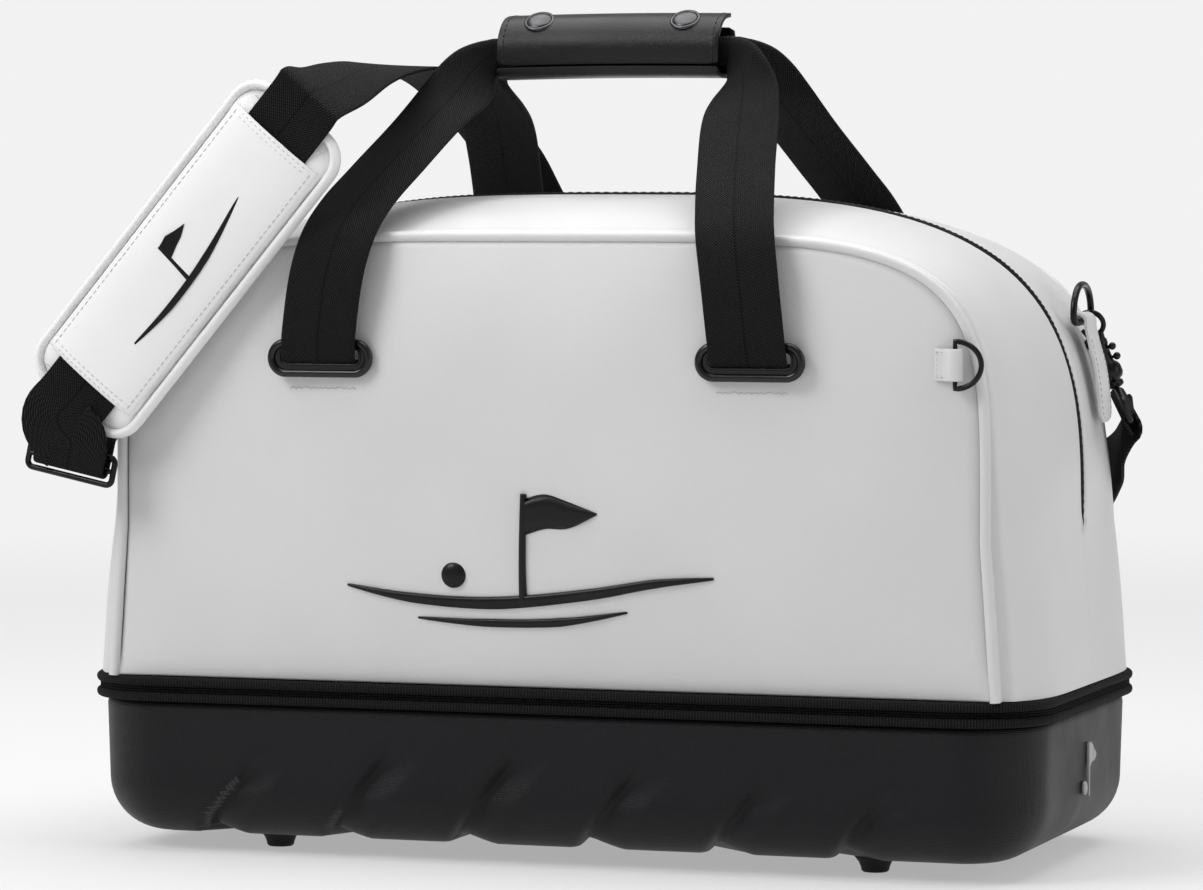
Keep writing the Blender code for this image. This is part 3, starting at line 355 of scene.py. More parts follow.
def band_material():
    """Ribbed binding tape, with painted highlights on the ribs and painted shade between them."""
    n = Nodes("ribbed_band", (0.006, 0.006, 0.0065), 0.78, specular=0.14)
    along, around = split_uv(n)
    rib = n.math("SINE", n.math("MULTIPLY", along, 2 * pi / 0.0015))
    cross = n.math("SINE", n.math("MULTIPLY", around, 2 * pi / 0.0011))
    weave = n.math("ADD", rib, n.math("MULTIPLY", cross, 0.5))
    # painted highlight on the rib crests and painted shade in the hollows between them
    colour = n.mix(n.remap(weave, 0.0, 1.4, 0.0, 1.0), (0.0028, 0.0028, 0.0030), (0.0220, 0.0215, 0.0222))
    return n.finish(colour, None, n.bump(weave, 0.00025, 0.8))


def lining_material():
    """Dark woven lining, with painted highlights on the weave's crests and painted shade in its hollows."""
    n = Nodes("woven_lining", (0.045, 0.045, 0.050), 0.85, specular=0.25)
    place = n.add("ShaderNodeSeparateXYZ", {"Vector": n.place()})
    waves = [n.math("SINE", n.math("MULTIPLY", place.outputs[axis], 2 * pi / 0.0016))
             for axis in ("X", "Y", "Z")]
    weave = n.math("ADD", n.math("ADD", waves[0], waves[1]), waves[2])
    # painted highlight on the weave's crests and painted shade in its hollows
    colour = n.mix(n.remap(weave, -1.5, 1.5, 0.0, 1.0), (0.030, 0.030, 0.034), (0.060, 0.060, 0.066))
    return n.finish(colour, None, n.bump(weave, 0.00012, 0.5))


WHITE = leather_material("white_leather", (0.665, 0.66, 0.665), (0.635, 0.63, 0.64), 0.40, 850, 0.00010)
PAD_WHITE = leather_material("pad_white_leather", (0.85, 0.845, 0.845), (0.82, 0.815, 0.82), 0.42, 850,
                             0.00010)
BLACK_HIDE = leather_material("black_leather", (0.0030, 0.0030, 0.0032), (0.0055, 0.0055, 0.0058), 0.34,
                              1100, 0.00012, specular=0.30)
WEB = webbing_material()
TRAY = tray_material()
BAND = band_material()
LINING = lining_material()
RUBBER = plain_material("soft_rubber", (0.0035, 0.0035, 0.0038), (0.0065, 0.0065, 0.0070), 0.30, 60,
                        specular=0.24)
FOOT = plain_material("foot_rubber", (0.0040, 0.0040, 0.0040), (0.0080, 0.0080, 0.0080), 0.6, 90,
                      specular=0.25)
GLOSS = plain_material("gloss_plastic", (0.0035, 0.0035, 0.0038), (0.0060, 0.0060, 0.0064), 0.20, 50,
                       specular=0.40)
METAL = plain_material("black_metal", (0.014, 0.014, 0.015), (0.026, 0.026, 0.028), 0.24, 120, 0.85)
SNAP = plain_material("snap_metal", (0.085, 0.085, 0.088), (0.055, 0.055, 0.058), 0.28, 90, 0.9)
COIL = plain_material("zip_coil", (0.0022, 0.0022, 0.0024), (0.0050, 0.0050, 0.0054), 0.50, 200,
                      specular=0.20)
BADGE = plain_material("badge_grey", (0.30, 0.30, 0.31), (0.36, 0.36, 0.37), 0.38, 80)
THREAD = plain_material("grey_thread", (0.56, 0.56, 0.57), (0.42, 0.42, 0.43), 0.75, 700)
DARK_THREAD = plain_material("black_thread", (0.007, 0.007, 0.007), (0.02, 0.02, 0.02), 0.7, 700)


# ===================================================================================================
# mesh helpers
# ===================================================================================================
def add_piece(name, data, material, body, replaces=()):
    """Links a piece, gives it its material and slot, and hangs it on its body."""
    data.materials.clear()
    data.materials.append(material)
    piece = bpy.data.objects.new(name, data)
    bpy.context.scene.collection.objects.link(piece)
    if body:
        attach(piece, body)
    if replaces:
        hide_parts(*replaces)
    return piece


def half_turn(point):
    return Vector((-point[0], -point[1], point[2]))


def grid_mesh(name, points, wrap_rows=False, wrap_columns=False, uv=None, caps=False):
    """A mesh over rows and columns of points; uv holds a matching grid, one longer where it wraps."""
    points = np.asarray(points, float)
    rows, columns = points.shape[:2]
    mesh = bpy.data.meshes.new(name)
    index = np.arange(rows * columns).reshape(rows, columns)
    faces, spots = [], []
    for i in range(rows if wrap_rows else rows - 1):
        for j in range(columns if wrap_columns else columns - 1):
            i2, j2 = (i + 1) % rows, (j + 1) % columns
            faces.append([index[i, j], index[i, j2], index[i2, j2], index[i2, j]])
            spots.append([(i, j), (i, j + 1), (i + 1, j + 1), (i + 1, j)])
    if caps:
        faces.append(list(index[0][::-1]))
        faces.append(list(index[-1]))
        spots += [[(0, j) for j in range(columns)][::-1], [(rows - 1, j) for j in range(columns)]]
    mesh.from_pydata(points.reshape(-1, 3).tolist(), [], [[int(k) for k in f] for f in faces])
    if uv is not None:
        uv = np.asarray(uv, float)
        layer = mesh.uv_layers.new(name="UVMap")
        flat = [uv[min(i, uv.shape[0] - 1), min(j, uv.shape[1] - 1)] for f in spots for i, j in f]
        layer.data.foreach_set("uv", np.array(flat).ravel())
    mesh.shade_smooth()
    return mesh


def outward(mesh, centre):
    """Turns the faces so that most of them look away from centre."""
    centre = Vector(centre)
    total = sum(p.normal.dot(p.center - centre) * p.area for p in mesh.polygons)
    if total < 0:
        mesh.flip_normals()
    return mesh


def closed_outward(mesh):
    """Turns a closed mesh's faces outwards."""
    bm = bmesh.new()
    bm.from_mesh(mesh)
    bmesh.ops.recalc_face_normals(bm, faces=bm.faces)
    bm.to_mesh(mesh)
    bm.free()
    return mesh


def settle(piece):
    """Replaces a piece's data with its mesh after all modifiers."""
    graph = bpy.context.evaluated_depsgraph_get()
    graph.update()
    mesh = bpy.data.meshes.new_from_object(piece.evaluated_get(graph), depsgraph=graph)
    piece.modifiers.clear()
    piece.data = mesh
    return piece


def wall(piece, thickness, lining=None, offset=-1.0):
    """Gives a sheet its thickness; lining is the material of its inner face."""
    if lining:
        piece.data.materials.append(lining)
    solid = piece.modifiers.new("wall", "SOLIDIFY")
    solid.thickness = thickness
    solid.offset = offset
    if lining:
        solid.material_offset = 1
    return piece


def smooth_path(points, steps):
    """Points on a Catmull-Rom curve through the given rows of numbers."""
    rows = np.asarray(points, float)
    padded = np.vstack([rows[:1], rows, rows[-1:]])
    path = []
    for k in range(1, len(padded) - 2):
        a, b, c, d = padded[k - 1:k + 3]
        for t in np.arange(steps) / steps:
            path.append(0.5 * (2 * b + (c - a) * t + (2 * a - 5 * b + 4 * c - d) * t * t
                               + (3 * b - a - 3 * c + d) * t ** 3))
    path.append(rows[-1])
    return np.array(path)


def tube(name, points, radius, material, body, closed=False, sides=5, replaces=(), radii=None):
    curve = bpy.data.curves.new(name, "CURVE")
    curve.dimensions = "3D"
    spline = curve.splines.new("POLY")
    spline.points.add(len(points) - 1)
    for k, point in enumerate(points):
        spline.points[k].co = (*point, 1.0)
        if radii is not None:
            spline.points[k].radius = radii[k]
    spline.use_cyclic_u = closed
    spline.use_smooth = True
    curve.bevel_depth = radius
    curve.bevel_resolution = sides
    curve.use_fill_caps = not closed
    return add_piece(name, curve, material, body, replaces)


def lathe_mesh(name, profile, matrix, segments=32):
    """A turned shape from (radius, height) pairs, closed at both ends."""
    rows = []
    for radius, height in profile:
        rows.append([matrix @ Vector((radius * cos(a), radius * sin(a), height))
                     for a in np.arange(segments) * 2 * pi / segments])
    return closed_outward(grid_mesh(name, rows, wrap_columns=True, caps=True))


def frame_matrix(origin, x_axis, z_axis):
    z_axis = Vector(z_axis).normalized()
    x_axis = Vector(x_axis)
    x_axis = (x_axis - x_axis.dot(z_axis) * z_axis).normalized()
    y_axis = z_axis.cross(x_axis)
    return Matrix.Translation(origin) @ Matrix((x_axis, y_axis, z_axis)).transposed().to_4x4()


def rounded_outline(half_x, half_y, radius, steps=4):
    outline = []
    for corner in range(4):
        sx = 1 if corner in (0, 3) else -1
        sy = 1 if corner in (0, 1) else -1
        for s in range(steps + 1):
            angle = (corner + s / steps) * pi / 2
            outline.append((sx * (half_x - radius) + radius * cos(angle),
                            sy * (half_y - radius) + radius * sin(angle)))
    return outline


def even_outline(half_x, half_y, radius, spacing):
    """A rounded rectangle with evenly spread points, and the distance walked to each."""
    outline = np.array(rounded_outline(half_x, half_y, radius, 12))
    loop = np.vstack([outline, outline[:1]])
    walked = np.concatenate([[0], np.cumsum(np.linalg.norm(np.diff(loop, axis=0), axis=1))])
    count = int(round(walked[-1] / spacing))
    at = np.arange(count) * walked[-1] / count
    spread = np.column_stack([np.interp(at, walked, loop[:, 0]), np.interp(at, walked, loop[:, 1])])
    return spread, np.append(at, walked[-1])


def plate(name, outlines, thickness, bevel, matrix, material, body, replaces=()):
    """A flat plate with rounded edges: the first outline is its edge and any others are holes."""
    curve = bpy.data.curves.new(name, "CURVE")
    curve.dimensions = "2D"
    curve.fill_mode = "BOTH"
    curve.extrude = thickness / 2 - bevel
    curve.bevel_depth = bevel
    curve.bevel_resolution = 3
    curve.offset = -bevel
    for outline in outlines:
        spline = curve.splines.new("POLY")
        spline.points.add(len(outline) - 1)
        for node, (x, y) in zip(spline.points, outline):
            node.co = (x, y, 0.0, 1.0)
        spline.use_cyclic_u = True
    drawing = bpy.data.objects.new(f"{name}_drawing", curve)
    bpy.context.scene.collection.objects.link(drawing)
    graph = bpy.context.evaluated_depsgraph_get()
    graph.update()
    mesh = bpy.data.meshes.new_from_object(drawing.evaluated_get(graph), depsgraph=graph)
    bpy.data.objects.remove(drawing)
    mesh.transform(matrix)
    mesh.shade_smooth()
    mesh.set_sharp_from_angle(angle=radians(50))
    piece = add_piece(name, mesh, material, None)
    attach(piece, body)
    if replaces:
        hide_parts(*replaces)
    return piece


def web_section(width, thickness, count=9):
    """Half widths and heights round a strip of webbing with soft edges, and the distance across."""
    half, lift = width / 2, thickness / 2
    top = np.linspace(-half + lift, half - lift, count)
    ring = [(u, lift, u + half) for u in top]
    ring += [(half - lift * (1 - cos(a)), lift * sin(a), width) for a in (pi / 4, 0, -pi / 4)]
    ring += [(u, -lift, u + half) for u in top[::-1]]
    ring += [(-half + lift * (1 - cos(a)), -lift * sin(a), 0.0) for a in (pi / 4, 0, -pi / 4)]
    return ring


def ribbon(name, rows, steps, material, body, replaces=(), crown=0.0):
    """Webbing through rows of (place, width direction, width, thickness)."""
    flat = [(*place, *across, width, thickness) for place, across, width, thickness in rows]
    path = smooth_path(flat, steps)
    places = path[:, 0:3]
    walked = np.concatenate([[0], np.cumsum(np.linalg.norm(np.diff(places, axis=0), axis=1))])
    tangents = np.gradient(places, axis=0)
    points, uv = [], []
    for k, row in enumerate(path):
        tangent = Vector(tangents[k]).normalized()
        across = Vector(row[3:6])
        across = (across - across.dot(tangent) * tangent).normalized()
        normal = tangent.cross(across)
        width, thickness = row[6], row[7]
        ring, ring_uv = [], []
        for u, w, over in web_section(width, thickness):
            lift = crown * (1 - (2 * u / width) ** 2)
            ring.append(Vector(row[0:3]) + across * u + normal * (w + lift))
            ring_uv.append((over * WEB_WIDTH / width, walked[k]))
        points.append(ring)
        uv.append(ring_uv + [ring_uv[0]])
    mesh = closed_outward(grid_mesh(name, points, wrap_columns=True, uv=uv, caps=True))
    mesh.set_sharp_from_angle(angle=radians(60))
    return add_piece(name, mesh, material, body, replaces)


def stitch_row(name, path, body, material=THREAD, pitch=0.0034, length=0.0023, radius=0.00038,
               closed=False):
    """A row of short raised stitches along a path that lies on the surface."""
    path = np.asarray(path, float)
    if closed:
        path = np.vstack([path, path[:1]])
    walked = np.concatenate([[0], np.cumsum(np.linalg.norm(np.diff(path, axis=0), axis=1))])
    count = max(1, int(walked[-1] / pitch))
    verts, faces = [], []
    for k in range(count):
        middle = (k + 0.5) * walked[-1] / count
        ends = [[np.interp(middle + s * length / 2, walked, path[:, a]) for a in range(3)]
                for s in (-1, 1)]
        start, stop = Vector(ends[0]), Vector(ends[1])
        tangent = (stop - start).normalized()
        side = tangent.orthogonal().normalized()
        other = tangent.cross(side)
        base = len(verts)
        for t, size in ((0.0, 0.35), (0.2, 0.9), (0.8, 0.9), (1.0, 0.35)):
            for s in range(6):
                angle = s * pi / 3
                spoke = side * cos(angle) + other * sin(angle)
                verts.append(start.lerp(stop, t) + spoke * radius * size)
        for ring in range(3):
            for s in range(6):
                a, b = base + ring * 6 + s, base + ring * 6 + (s + 1) % 6
                faces.append((a, b, b + 6, a + 6))
        faces.append([base + s for s in range(6)][::-1])
        faces.append([base + 18 + s for s in range(6)])
    mesh = bpy.data.meshes.new(name)
    mesh.from_pydata(verts, [], faces)
    mesh.shade_smooth()
    return add_piece(name, closed_outward(mesh), material, body)


# ===================================================================================================
# shapes shared by the upper's pieces
# ===================================================================================================
def crown_at(v, z):
    """How far the gusset stands proud: round in section at the top, square at the rim."""
    low = min(1.0, max(0.0, (SHOULDER_Z - z) / (SHOULDER_Z - 0.110)))
    power = ROUND_SECTION + (SQUARE_SECTION - ROUND_SECTION) * low * low * (3 - 2 * low)
    return CROWN * (1 - abs(v) ** power)


def outline_power(crown):
    return PIPE_POWER + (CROWN_POWER - PIPE_POWER) * max(crown, 0.0) / CROWN


def arch_point(angle, crown):
    half, rise, power = PIPE_HALF_X + crown, PIPE_RISE + crown, outline_power(crown)
    reach = ((abs(cos(angle)) / half) ** power + (abs(sin(angle)) / rise) ** power) ** (-1 / power)
    return reach * cos(angle), ARCH_Z + reach * sin(angle)


def skirt_point(part, crown):
    half = FOOT_HALF_X + (PIPE_HALF_X - FOOT_HALF_X) * part
    return half + crown, FOOT_Z + (ARCH_Z - FOOT_Z) * part


def outline_point(s, crown):
    """The right half of the outline: s runs from 0 at the foot, 1 at ARCH_Z, to 2 on the centre."""
    if s < 1:
        return skirt_point(s, crown)
    part = s - 1
    corner = 0.366           # of the quarter turn, where the outline is roundest
    angle = pi / 2 * (0.45 * part + 0.55 * (corner + (part - 0.5) * 4 * (0.25 + (part - 0.5) ** 2)
                                            * (corner if part < 0.5 else 1 - corner)))
    return arch_point(min(max(angle, 0.0), pi / 2), crown)


def outline_rows(count_skirt, count_arch):
    return [k / count_skirt for k in range(count_skirt)] + \
        [1 + k / count_arch for k in range(count_arch + 1)]


def whole_outline(crown, count_skirt=6, count_arch=40):
    right = [outline_point(s, crown) for s in outline_rows(count_skirt, count_arch)]
    return right + [(-x, z) for x, z in reversed(right[:-1])]


def panel_y(x, z):
    """Distance of the bulged panel's face from the centre plane, with soft dents."""
    across = min(1.0, abs(x) / PIPE_HALF_X)
    up = min(1.0, abs(z - 0.195) / 0.110)
    bulge = PANEL_BULGE * (1 - across ** 2.5) * (1 - up ** 2.5)
    calm = (1 - across ** 4) * (1 - up ** 4)
    soft = 0.00035 * sin(31 * x + 0.6) * sin(44 * z + 1.1) + 0.00022 * sin(70 * x - 52 * z)
    for gx in (-GROMMET_X, GROMMET_X):
        reach = ((x - gx) / 0.036) ** 2 + ((z - GROMMET_Z) / 0.020) ** 2
        soft += 0.0006 / (1 + reach ** 2)
    return HALF_DEPTH + bulge + soft * calm


def body_name(base, side):
    return f"{base}_{'front' if side < 0 else 'rear'}"


# ===================================================================================================
# shoe tray
# ===================================================================================================
def groove_depth(x, z):
    """How far the wall is pressed in at x along it and height z: a row of slanting scallops."""
    depth = 0.0
    for start, top in zip(GROOVE_STARTS, GROOVE_TOPS):
        away = x - (start + GROOVE_SLOPE * (z - 0.008))
        fade = min(1.0, max(0.0, (top + 0.004 - z) / 0.022))
        fade = fade * fade * (3 - 2 * fade)
        if away < 0:
            press = np.exp(-(away / 0.0046) ** 2)
        else:
            press = max(0.0, 1 - away / 0.018) ** 1.2
        depth = max(depth, GROOVE_DEPTH * fade * press)
    return depth


def tray_ring(z, shrink, spread, pressed, lean=0.0):
    """One level of the tray's wall, pressed in at the grooves where pressed is set."""
    corner = max(TRAY_CORNER - shrink, 0.010)
    outline, _ = even_outline(TRAY_HALF_X - shrink, TRAY_HALF_Y - shrink, corner, 0.0025)
    ring = []
    for x, y in spread(outline):
        lift = 0.0
        if pressed:
            reach = min(1.0, max(0.0, (abs(y) - (TRAY_HALF_Y - shrink - 0.012)) / 0.010))
            depth = reach * groove_depth(-np.sign(y) * x, z)
            y -= np.sign(y) * depth * cos(lean)
            lift = depth * sin(lean)
        ring.append((x, y, z + lift))
    return ring


def resample(count):
    def spread(outline):
        loop = np.vstack([outline, outline[:1]])
        walked = np.concatenate([[0], np.cumsum(np.linalg.norm(np.diff(loop, axis=0), axis=1))])
        at = np.arange(count) * walked[-1] / count
        return np.column_stack([np.interp(at, walked, loop[:, k]) for k in (0, 1)])
    return spread


def make_tray():
    """The moulded shell: pressed outer wall, rolled top edge, smooth lined inside."""
    count = 840
    spread = resample(count)
    levels = []
    for k in range(15):
        a = k / 14 * pi / 2
        levels.append((TRAY_BOTTOM + TRAY_FILLET * (1 - cos(a)), TRAY_FILLET * (1 - sin(a)), pi / 2 - a))
    top = TRAY_TOP - 0.0035
    levels += [(z, 0.0, 0.0) for z in np.linspace(TRAY_BOTTOM + TRAY_FILLET, top, 26)[1:]]
    levels += [(TRAY_TOP - 0.0012, 0.0004, 0.0), (TRAY_TOP, 0.0016, 0.0)]
    rings, uv = [], []
    for inset in (0.075, 0.050):
        rings.append(tray_ring(TRAY_BOTTOM, TRAY_FILLET + inset, spread, False))
    for z, inset, lean in levels:
        shrink = inset + TRAY_TAPER * (TRAY_TOP - z) / (TRAY_TOP - TRAY_BOTTOM)
        rings.append(tray_ring(z, shrink, spread, True, lean))
    skin = 0.0048
    for z, inset in ((TRAY_TOP, skin), (0.050, skin), (0.036, skin + 0.003), (0.022, skin + 0.010),
                     (TRAY_BOTTOM + 0.0068, TRAY_FILLET + skin), (TRAY_BOTTOM + 0.0068, 0.100)):
        rings.append(tray_ring(z, inset, spread, False))
    perimeter = 2 * (2 * TRAY_HALF_X + 2 * TRAY_HALF_Y) - (8 - 2 * pi) * TRAY_CORNER
    up = 0.0
    for k, ring in enumerate(rings):
        if k:
            step = np.linalg.norm(np.array(ring[0]) - np.array(rings[k - 1][0]))
            up += step
        uv.append([(perimeter * c / count, up) for c in range(count + 1)])
    mesh = closed_outward(grid_mesh("tray_moulding", rings, wrap_columns=True, uv=uv, caps=True))
    tray = add_piece("tray_moulding", mesh, TRAY, "tray", ("tray_shell",))
    mesh.materials.append(LINING)
    centre = Vector((0, 0, 0.045))
    for face in mesh.polygons:
        inside = face.normal.dot(face.center - centre) < 0
        if inside and face.center.z > TRAY_BOTTOM + 0.002:
            face.material_index = 1
    return tray


def make_feet():
    profile = [(0.0058, 0.0), (0.0066, 0.0007), (0.0069, 0.0022), (0.0078, 0.0045), (0.0095, 0.0068),
               (0.0105, 0.0079)]
    for name in ("front_left", "front_right", "rear_left", "rear_right"):
        low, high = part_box(f"foot_{name}")
        middle = ((low[0] + high[0]) / 2, (low[1] + high[1]) / 2, 0.0)
        mesh = lathe_mesh(f"knob_{name}", profile, Matrix.Translation(middle))
        add_piece(f"knob_{name}", mesh, FOOT, "tray", (f"foot_{name}",))


def band_ring(name, heights, body, node):
    """A ribbed binding with a rounded outer edge, all round the rim."""
    low, high = heights
    middle, half = (low + high) / 2, (high - low) / 2
    spots, walked = even_outline(BAND_HALF_X, BAND_HALF_Y, TRAY_CORNER, 0.003)
    rings, uv = [], []
    section = [(half * (1 - sin(a)) * 0.9, half * cos(a)) for a in np.linspace(0, pi, 9)]
    section += [(BAND_WIDTH, -half), (BAND_WIDTH, half)]
    around = np.concatenate([[0], np.cumsum(np.linalg.norm(np.diff(np.array(section), axis=0),
                                                           axis=1)), [0.03]])
    centre = np.array(rounded_direction(spots))
    for k, (x, y) in enumerate(spots):
        nx, ny = centre[k]
        rings.append([(x - nx * d, y - ny * d, middle + h) for d, h in section])
        uv.append([(walked[k], a) for a in around])
    uv.append([(walked[-1], a) for a in around])
    mesh = closed_outward(grid_mesh(name, rings, wrap_rows=True, wrap_columns=True, uv=uv))
    return add_piece(name, mesh, BAND, body, (node,))


def rounded_direction(spots):
    """Outward directions along a closed outline."""
    ahead = np.roll(spots, -1, axis=0) - np.roll(spots, 1, axis=0)
    normal = np.column_stack([ahead[:, 1], -ahead[:, 0]])
    return normal / np.linalg.norm(normal, axis=1)[:, None]


def teeth_ring(name, z, body, node, phase):
    """Half of a coil zip: its edge goes in and out once a tooth."""
    spots, _ = even_outline(BAND_HALF_X - 0.0018, BAND_HALF_Y - 0.0018, TRAY_CORNER, 0.0007)
    out = rounded_direction(spots)
    rings = []
    for k, (x, y) in enumerate(spots):
        edge = 0.0006 if (k + phase) % 2 else -0.0002
        rise = 0.00045 if (k + phase) % 2 else 0.00030
        ring = []
        for d, h in ((edge, rise), (edge, -rise), (-0.0040, -0.00035), (-0.0040, 0.00035)):
            ring.append((x + out[k][0] * d, y + out[k][1] * d, z + h))
        rings.append(ring)
    mesh = closed_outward(grid_mesh(name, rings, wrap_rows=True, wrap_columns=True))
    mesh.set_sharp_from_angle(angle=radians(30))
    return add_piece(name, mesh, COIL, body, (node,))


def make_hinge_tape():
    """The strip along the back edge, between the tray and the upper."""
    low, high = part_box("rear_hinge_tape")
    xs = np.linspace(low[0], high[0], 90)
    zs = np.linspace(low[2], high[2], 15)
    rows = [[(x, high[1] - 0.0002 + 0.0002 * cos(z * 900), z) for x in xs] for z in zs]
    uv = [[(x, z) for x in xs] for z in zs]
    tape = add_piece("hinge_tape", outward(grid_mesh("hinge_tape", rows, uv=uv), (0, 0, 0.08)), BAND,
                     None, ("rear_hinge_tape",))
    settle(wall(tape, 0.0010))
    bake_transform(tape)


def flag_shape(height):
    """A pin flag with a soft pennant, as one outline."""
    pole = 0.032 * height
    top = [(pole, 0.52)]
    for t in np.linspace(0, 1, 9):
        top.append((pole + t * 0.50 * height, 0.52 + 0.20 * t + 0.035 * sin(2 * pi * t)))
    for t in np.linspace(1, 0, 9)[1:]:
        top.append((pole + t * 0.50 * height, 1.0 - 0.20 * t + 0.035 * sin(2 * pi * t)))
    points = [(-pole, 0.0), (pole, 0.0)] + top[1:] + [(-pole, 1.0)]
    return [(x, y * height) for x, y in points]


def make_badge():
    low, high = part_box("tray_badge")
    middle = Vector((high[0] - 0.0008, (low[1] + high[1]) / 2 - 0.004, low[2]))
    matrix = frame_matrix(middle, (0, 1, 0), (1, 0, 0))
    plate("badge_flag", [flag_shape(0.026)], 0.0016, 0.0004, matrix, BADGE, "tray", ("tray_badge",))
    ball = frame_matrix(middle + Vector((0, -0.007, 0.0045)), (0, 1, 0), (1, 0, 0))
    profile = [(0.0032, -0.0008), (0.0034, 0.0), (0.0031, 0.0006), (0.0020, 0.0009)]
    add_piece("badge_ball", lathe_mesh("badge_ball", profile, ball, 24), BADGE, "tray")


def build_tray():
    make_tray()
    make_feet()
    band_ring("lower_binding", BAND_LOWER, "tray", "tray_rim_band")
    band_ring("upper_binding", BAND_UPPER, "upper", "upper_rim_band")
    teeth_ring("shoe_teeth_lower", 0.0799, "tray", "shoe_zip_lower", 0)
    teeth_ring("shoe_teeth_upper", 0.0811, "upper", "shoe_zip_upper", 1)
    make_hinge_tape()
    make_badge()


# ===================================================================================================
# upper
# ===================================================================================================
def slit_half(z):
    """Half width of the gap over the main zip at a height on the crown line."""
    up = min(1.0, max(0.0, (z - ARCH_Z) / 0.018))
    wide = 0.0042 - 0.0022 * min(1.0, max(0.0, (z - 0.200) / 0.085))
    return wide * up ** 0.5 + 0.00005


def gusset_quarter(x_side, y_side):
    """A quarter of the gusset: foot to crown at one end, piping to the zip's lip."""
    rows = []
    grades = [1.0, 0.993, 0.985, 0.977, 0.970, 0.964, 0.957, 0.950, 0.942, 0.934, 0.92,
              0.90, 0.86, 0.80, 0.72, 0.62, 0.50, 0.38, 0.26, 0.16, 0.09]
    lip = [(0.0052, 0.0), (0.0036, -0.0002), (0.0022, -0.0001), (0.0010, 0.0002), (0.0003, 0.0008),
           (0.0, 0.0022)]
    for s in outline_rows(14, 46):
        row = []
        x0, z0 = outline_point(s, CROWN)
        slit = slit_half(z0)
        stations = [(g * (HALF_DEPTH - 0.0008), 0.0) for g in grades]
        open_part = min(1.0, max(0.0, (z0 - ARCH_Z - 0.001) / 0.006))
        stations += [(slit + d, drop * open_part) for d, drop in lip]
        for y, drop in stations:
            v = y / HALF_DEPTH
            crown = crown_at(v, z0)
            seam = np.exp(-((HALF_DEPTH - y - 0.0042) / 0.0010) ** 2) * 0.0022
            band = np.exp(-((HALF_DEPTH - y - 0.0072) / 0.0018) ** 2) * 0.0006
            soft = 0.0003 * sin(26 * x0 * x_side + 3 * y_side) * sin(60 * y) * (1 - v * v)
            x, z = outline_point(s, crown)
            radial = Vector((x, 0, max(z - ARCH_Z, 0.0))).normalized()
            push = soft + band - seam - drop
            place = Vector((x, 0, z)) + radial * push
            row.append((x_side * place.x, y_side * y, place.z))
        rows.append(row)
    name = f"gusset_{'left' if x_side < 0 else 'right'}_{'front' if y_side < 0 else 'rear'}"
    mesh = outward(grid_mesh(name, rows), (0, 0, 0.17))
    piece = add_piece(name, mesh, WHITE, None)
    settle(wall(piece, SKIN, LINING))
    piece.data.set_sharp_from_angle(angle=radians(50))
    body_name("mouth", y_side)
    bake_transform(piece)
    return piece


def zip_quarter(x_side, y_side):
    """Tape and teeth of a quarter of the main zip, just under the lips."""
    rows = []
    tooth = 0
    for s in outline_rows(2, 190):
        x, z = outline_point(s, CROWN)
        if z < ARCH_Z + 0.0020:
            continue
        radial = Vector((x, 0, z - ARCH_Z)).normalized()
        slit = slit_half(z)
        tooth += 1
        rise = 0.0 if tooth % 2 else 0.0004
        coil = min(0.0016, slit * 0.6)
        proud = 0.0016 * min(1.0, max(0.0, (z - 0.245) / 0.045))
        row = []
        for y, sink in ((0.0, 0.0006 - rise - proud), (coil * 0.6, 0.0004 - rise - proud),
                        (coil, 0.0008 - proud), (slit - 0.0001, 0.0009),
                        (slit + 0.0004, 0.0030), (0.0, 0.0030)):
            place = Vector((x, 0, z)) - radial * sink
            row.append((x_side * place.x, y_side * (y + 0.00005), place.z))
        rows.append(row)
    name = f"zip_{'left' if x_side < 0 else 'right'}_{'front' if y_side < 0 else 'rear'}"
    mesh = closed_outward(grid_mesh(name, rows, wrap_columns=True, caps=True))
    mesh.set_sharp_from_angle(angle=radians(30))
    piece = add_piece(name, mesh, COIL, None)
    body_name("mouth", y_side)
    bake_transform(piece)
    return piece


def main_panel(side):
    """The bulged front or back panel, tucked into the piping all round."""
    outline = whole_outline(-0.0012, 10, 44)
    outline += [(x, FOOT_Z) for x in np.linspace(-0.20, 0.20, 33)]
    outline = np.array(outline)
    centre = np.array((0.0, 0.195))
    rows = []
    for scale in (1.0, 0.992, 0.98, 0.965, 0.945, 0.91, 0.86, 0.80, 0.73, 0.65, 0.56, 0.47, 0.38,
                  0.29, 0.20, 0.12, 0.05):
        ring = centre + scale * (outline - centre)
        tuck = 0.0024 * max(0.0, (scale - 0.975) / 0.025) ** 2
        row = []
        for x, z in ring:
            foot = 1.0 if z > 0.095 else 0.0
            row.append((x, side * (panel_y(x, z) - tuck * foot), z))
        rows.append(row)
    rows.append([(centre[0], side * panel_y(*centre), centre[1])] * len(outline))
    name = "panel_front" if side < 0 else "panel_rear"
    mesh = grid_mesh(name, rows, wrap_columns=True)
    bm = bmesh.new()
    bm.from_mesh(mesh)
    bmesh.ops.remove_doubles(bm, verts=bm.verts, dist=1e-6)
    bm.to_mesh(mesh)
    bm.free()
    outward(mesh, (0, 0, 0.17))
    node = "front_panel" if side < 0 else "back_panel"
    piece = add_piece(name, mesh, WHITE, "upper", (node,))
    wall(piece, SKIN, LINING)
    return piece


def piping(side):
    points = [(x, side * (HALF_DEPTH - 0.0002), z) for x, z in whole_outline(0.0004, 12, 60)]
    points = [(points[0][0], points[0][1], FOOT_Z - 0.0004)] + points[1:-1] \
        + [(points[-1][0], points[-1][1], FOOT_Z - 0.0004)]
    name = "piping_front" if side < 0 else "piping_rear"
    node = "front_piping" if side < 0 else "back_piping"
    tube(name, points, 0.0026, WHITE, "upper", replaces=(node,))


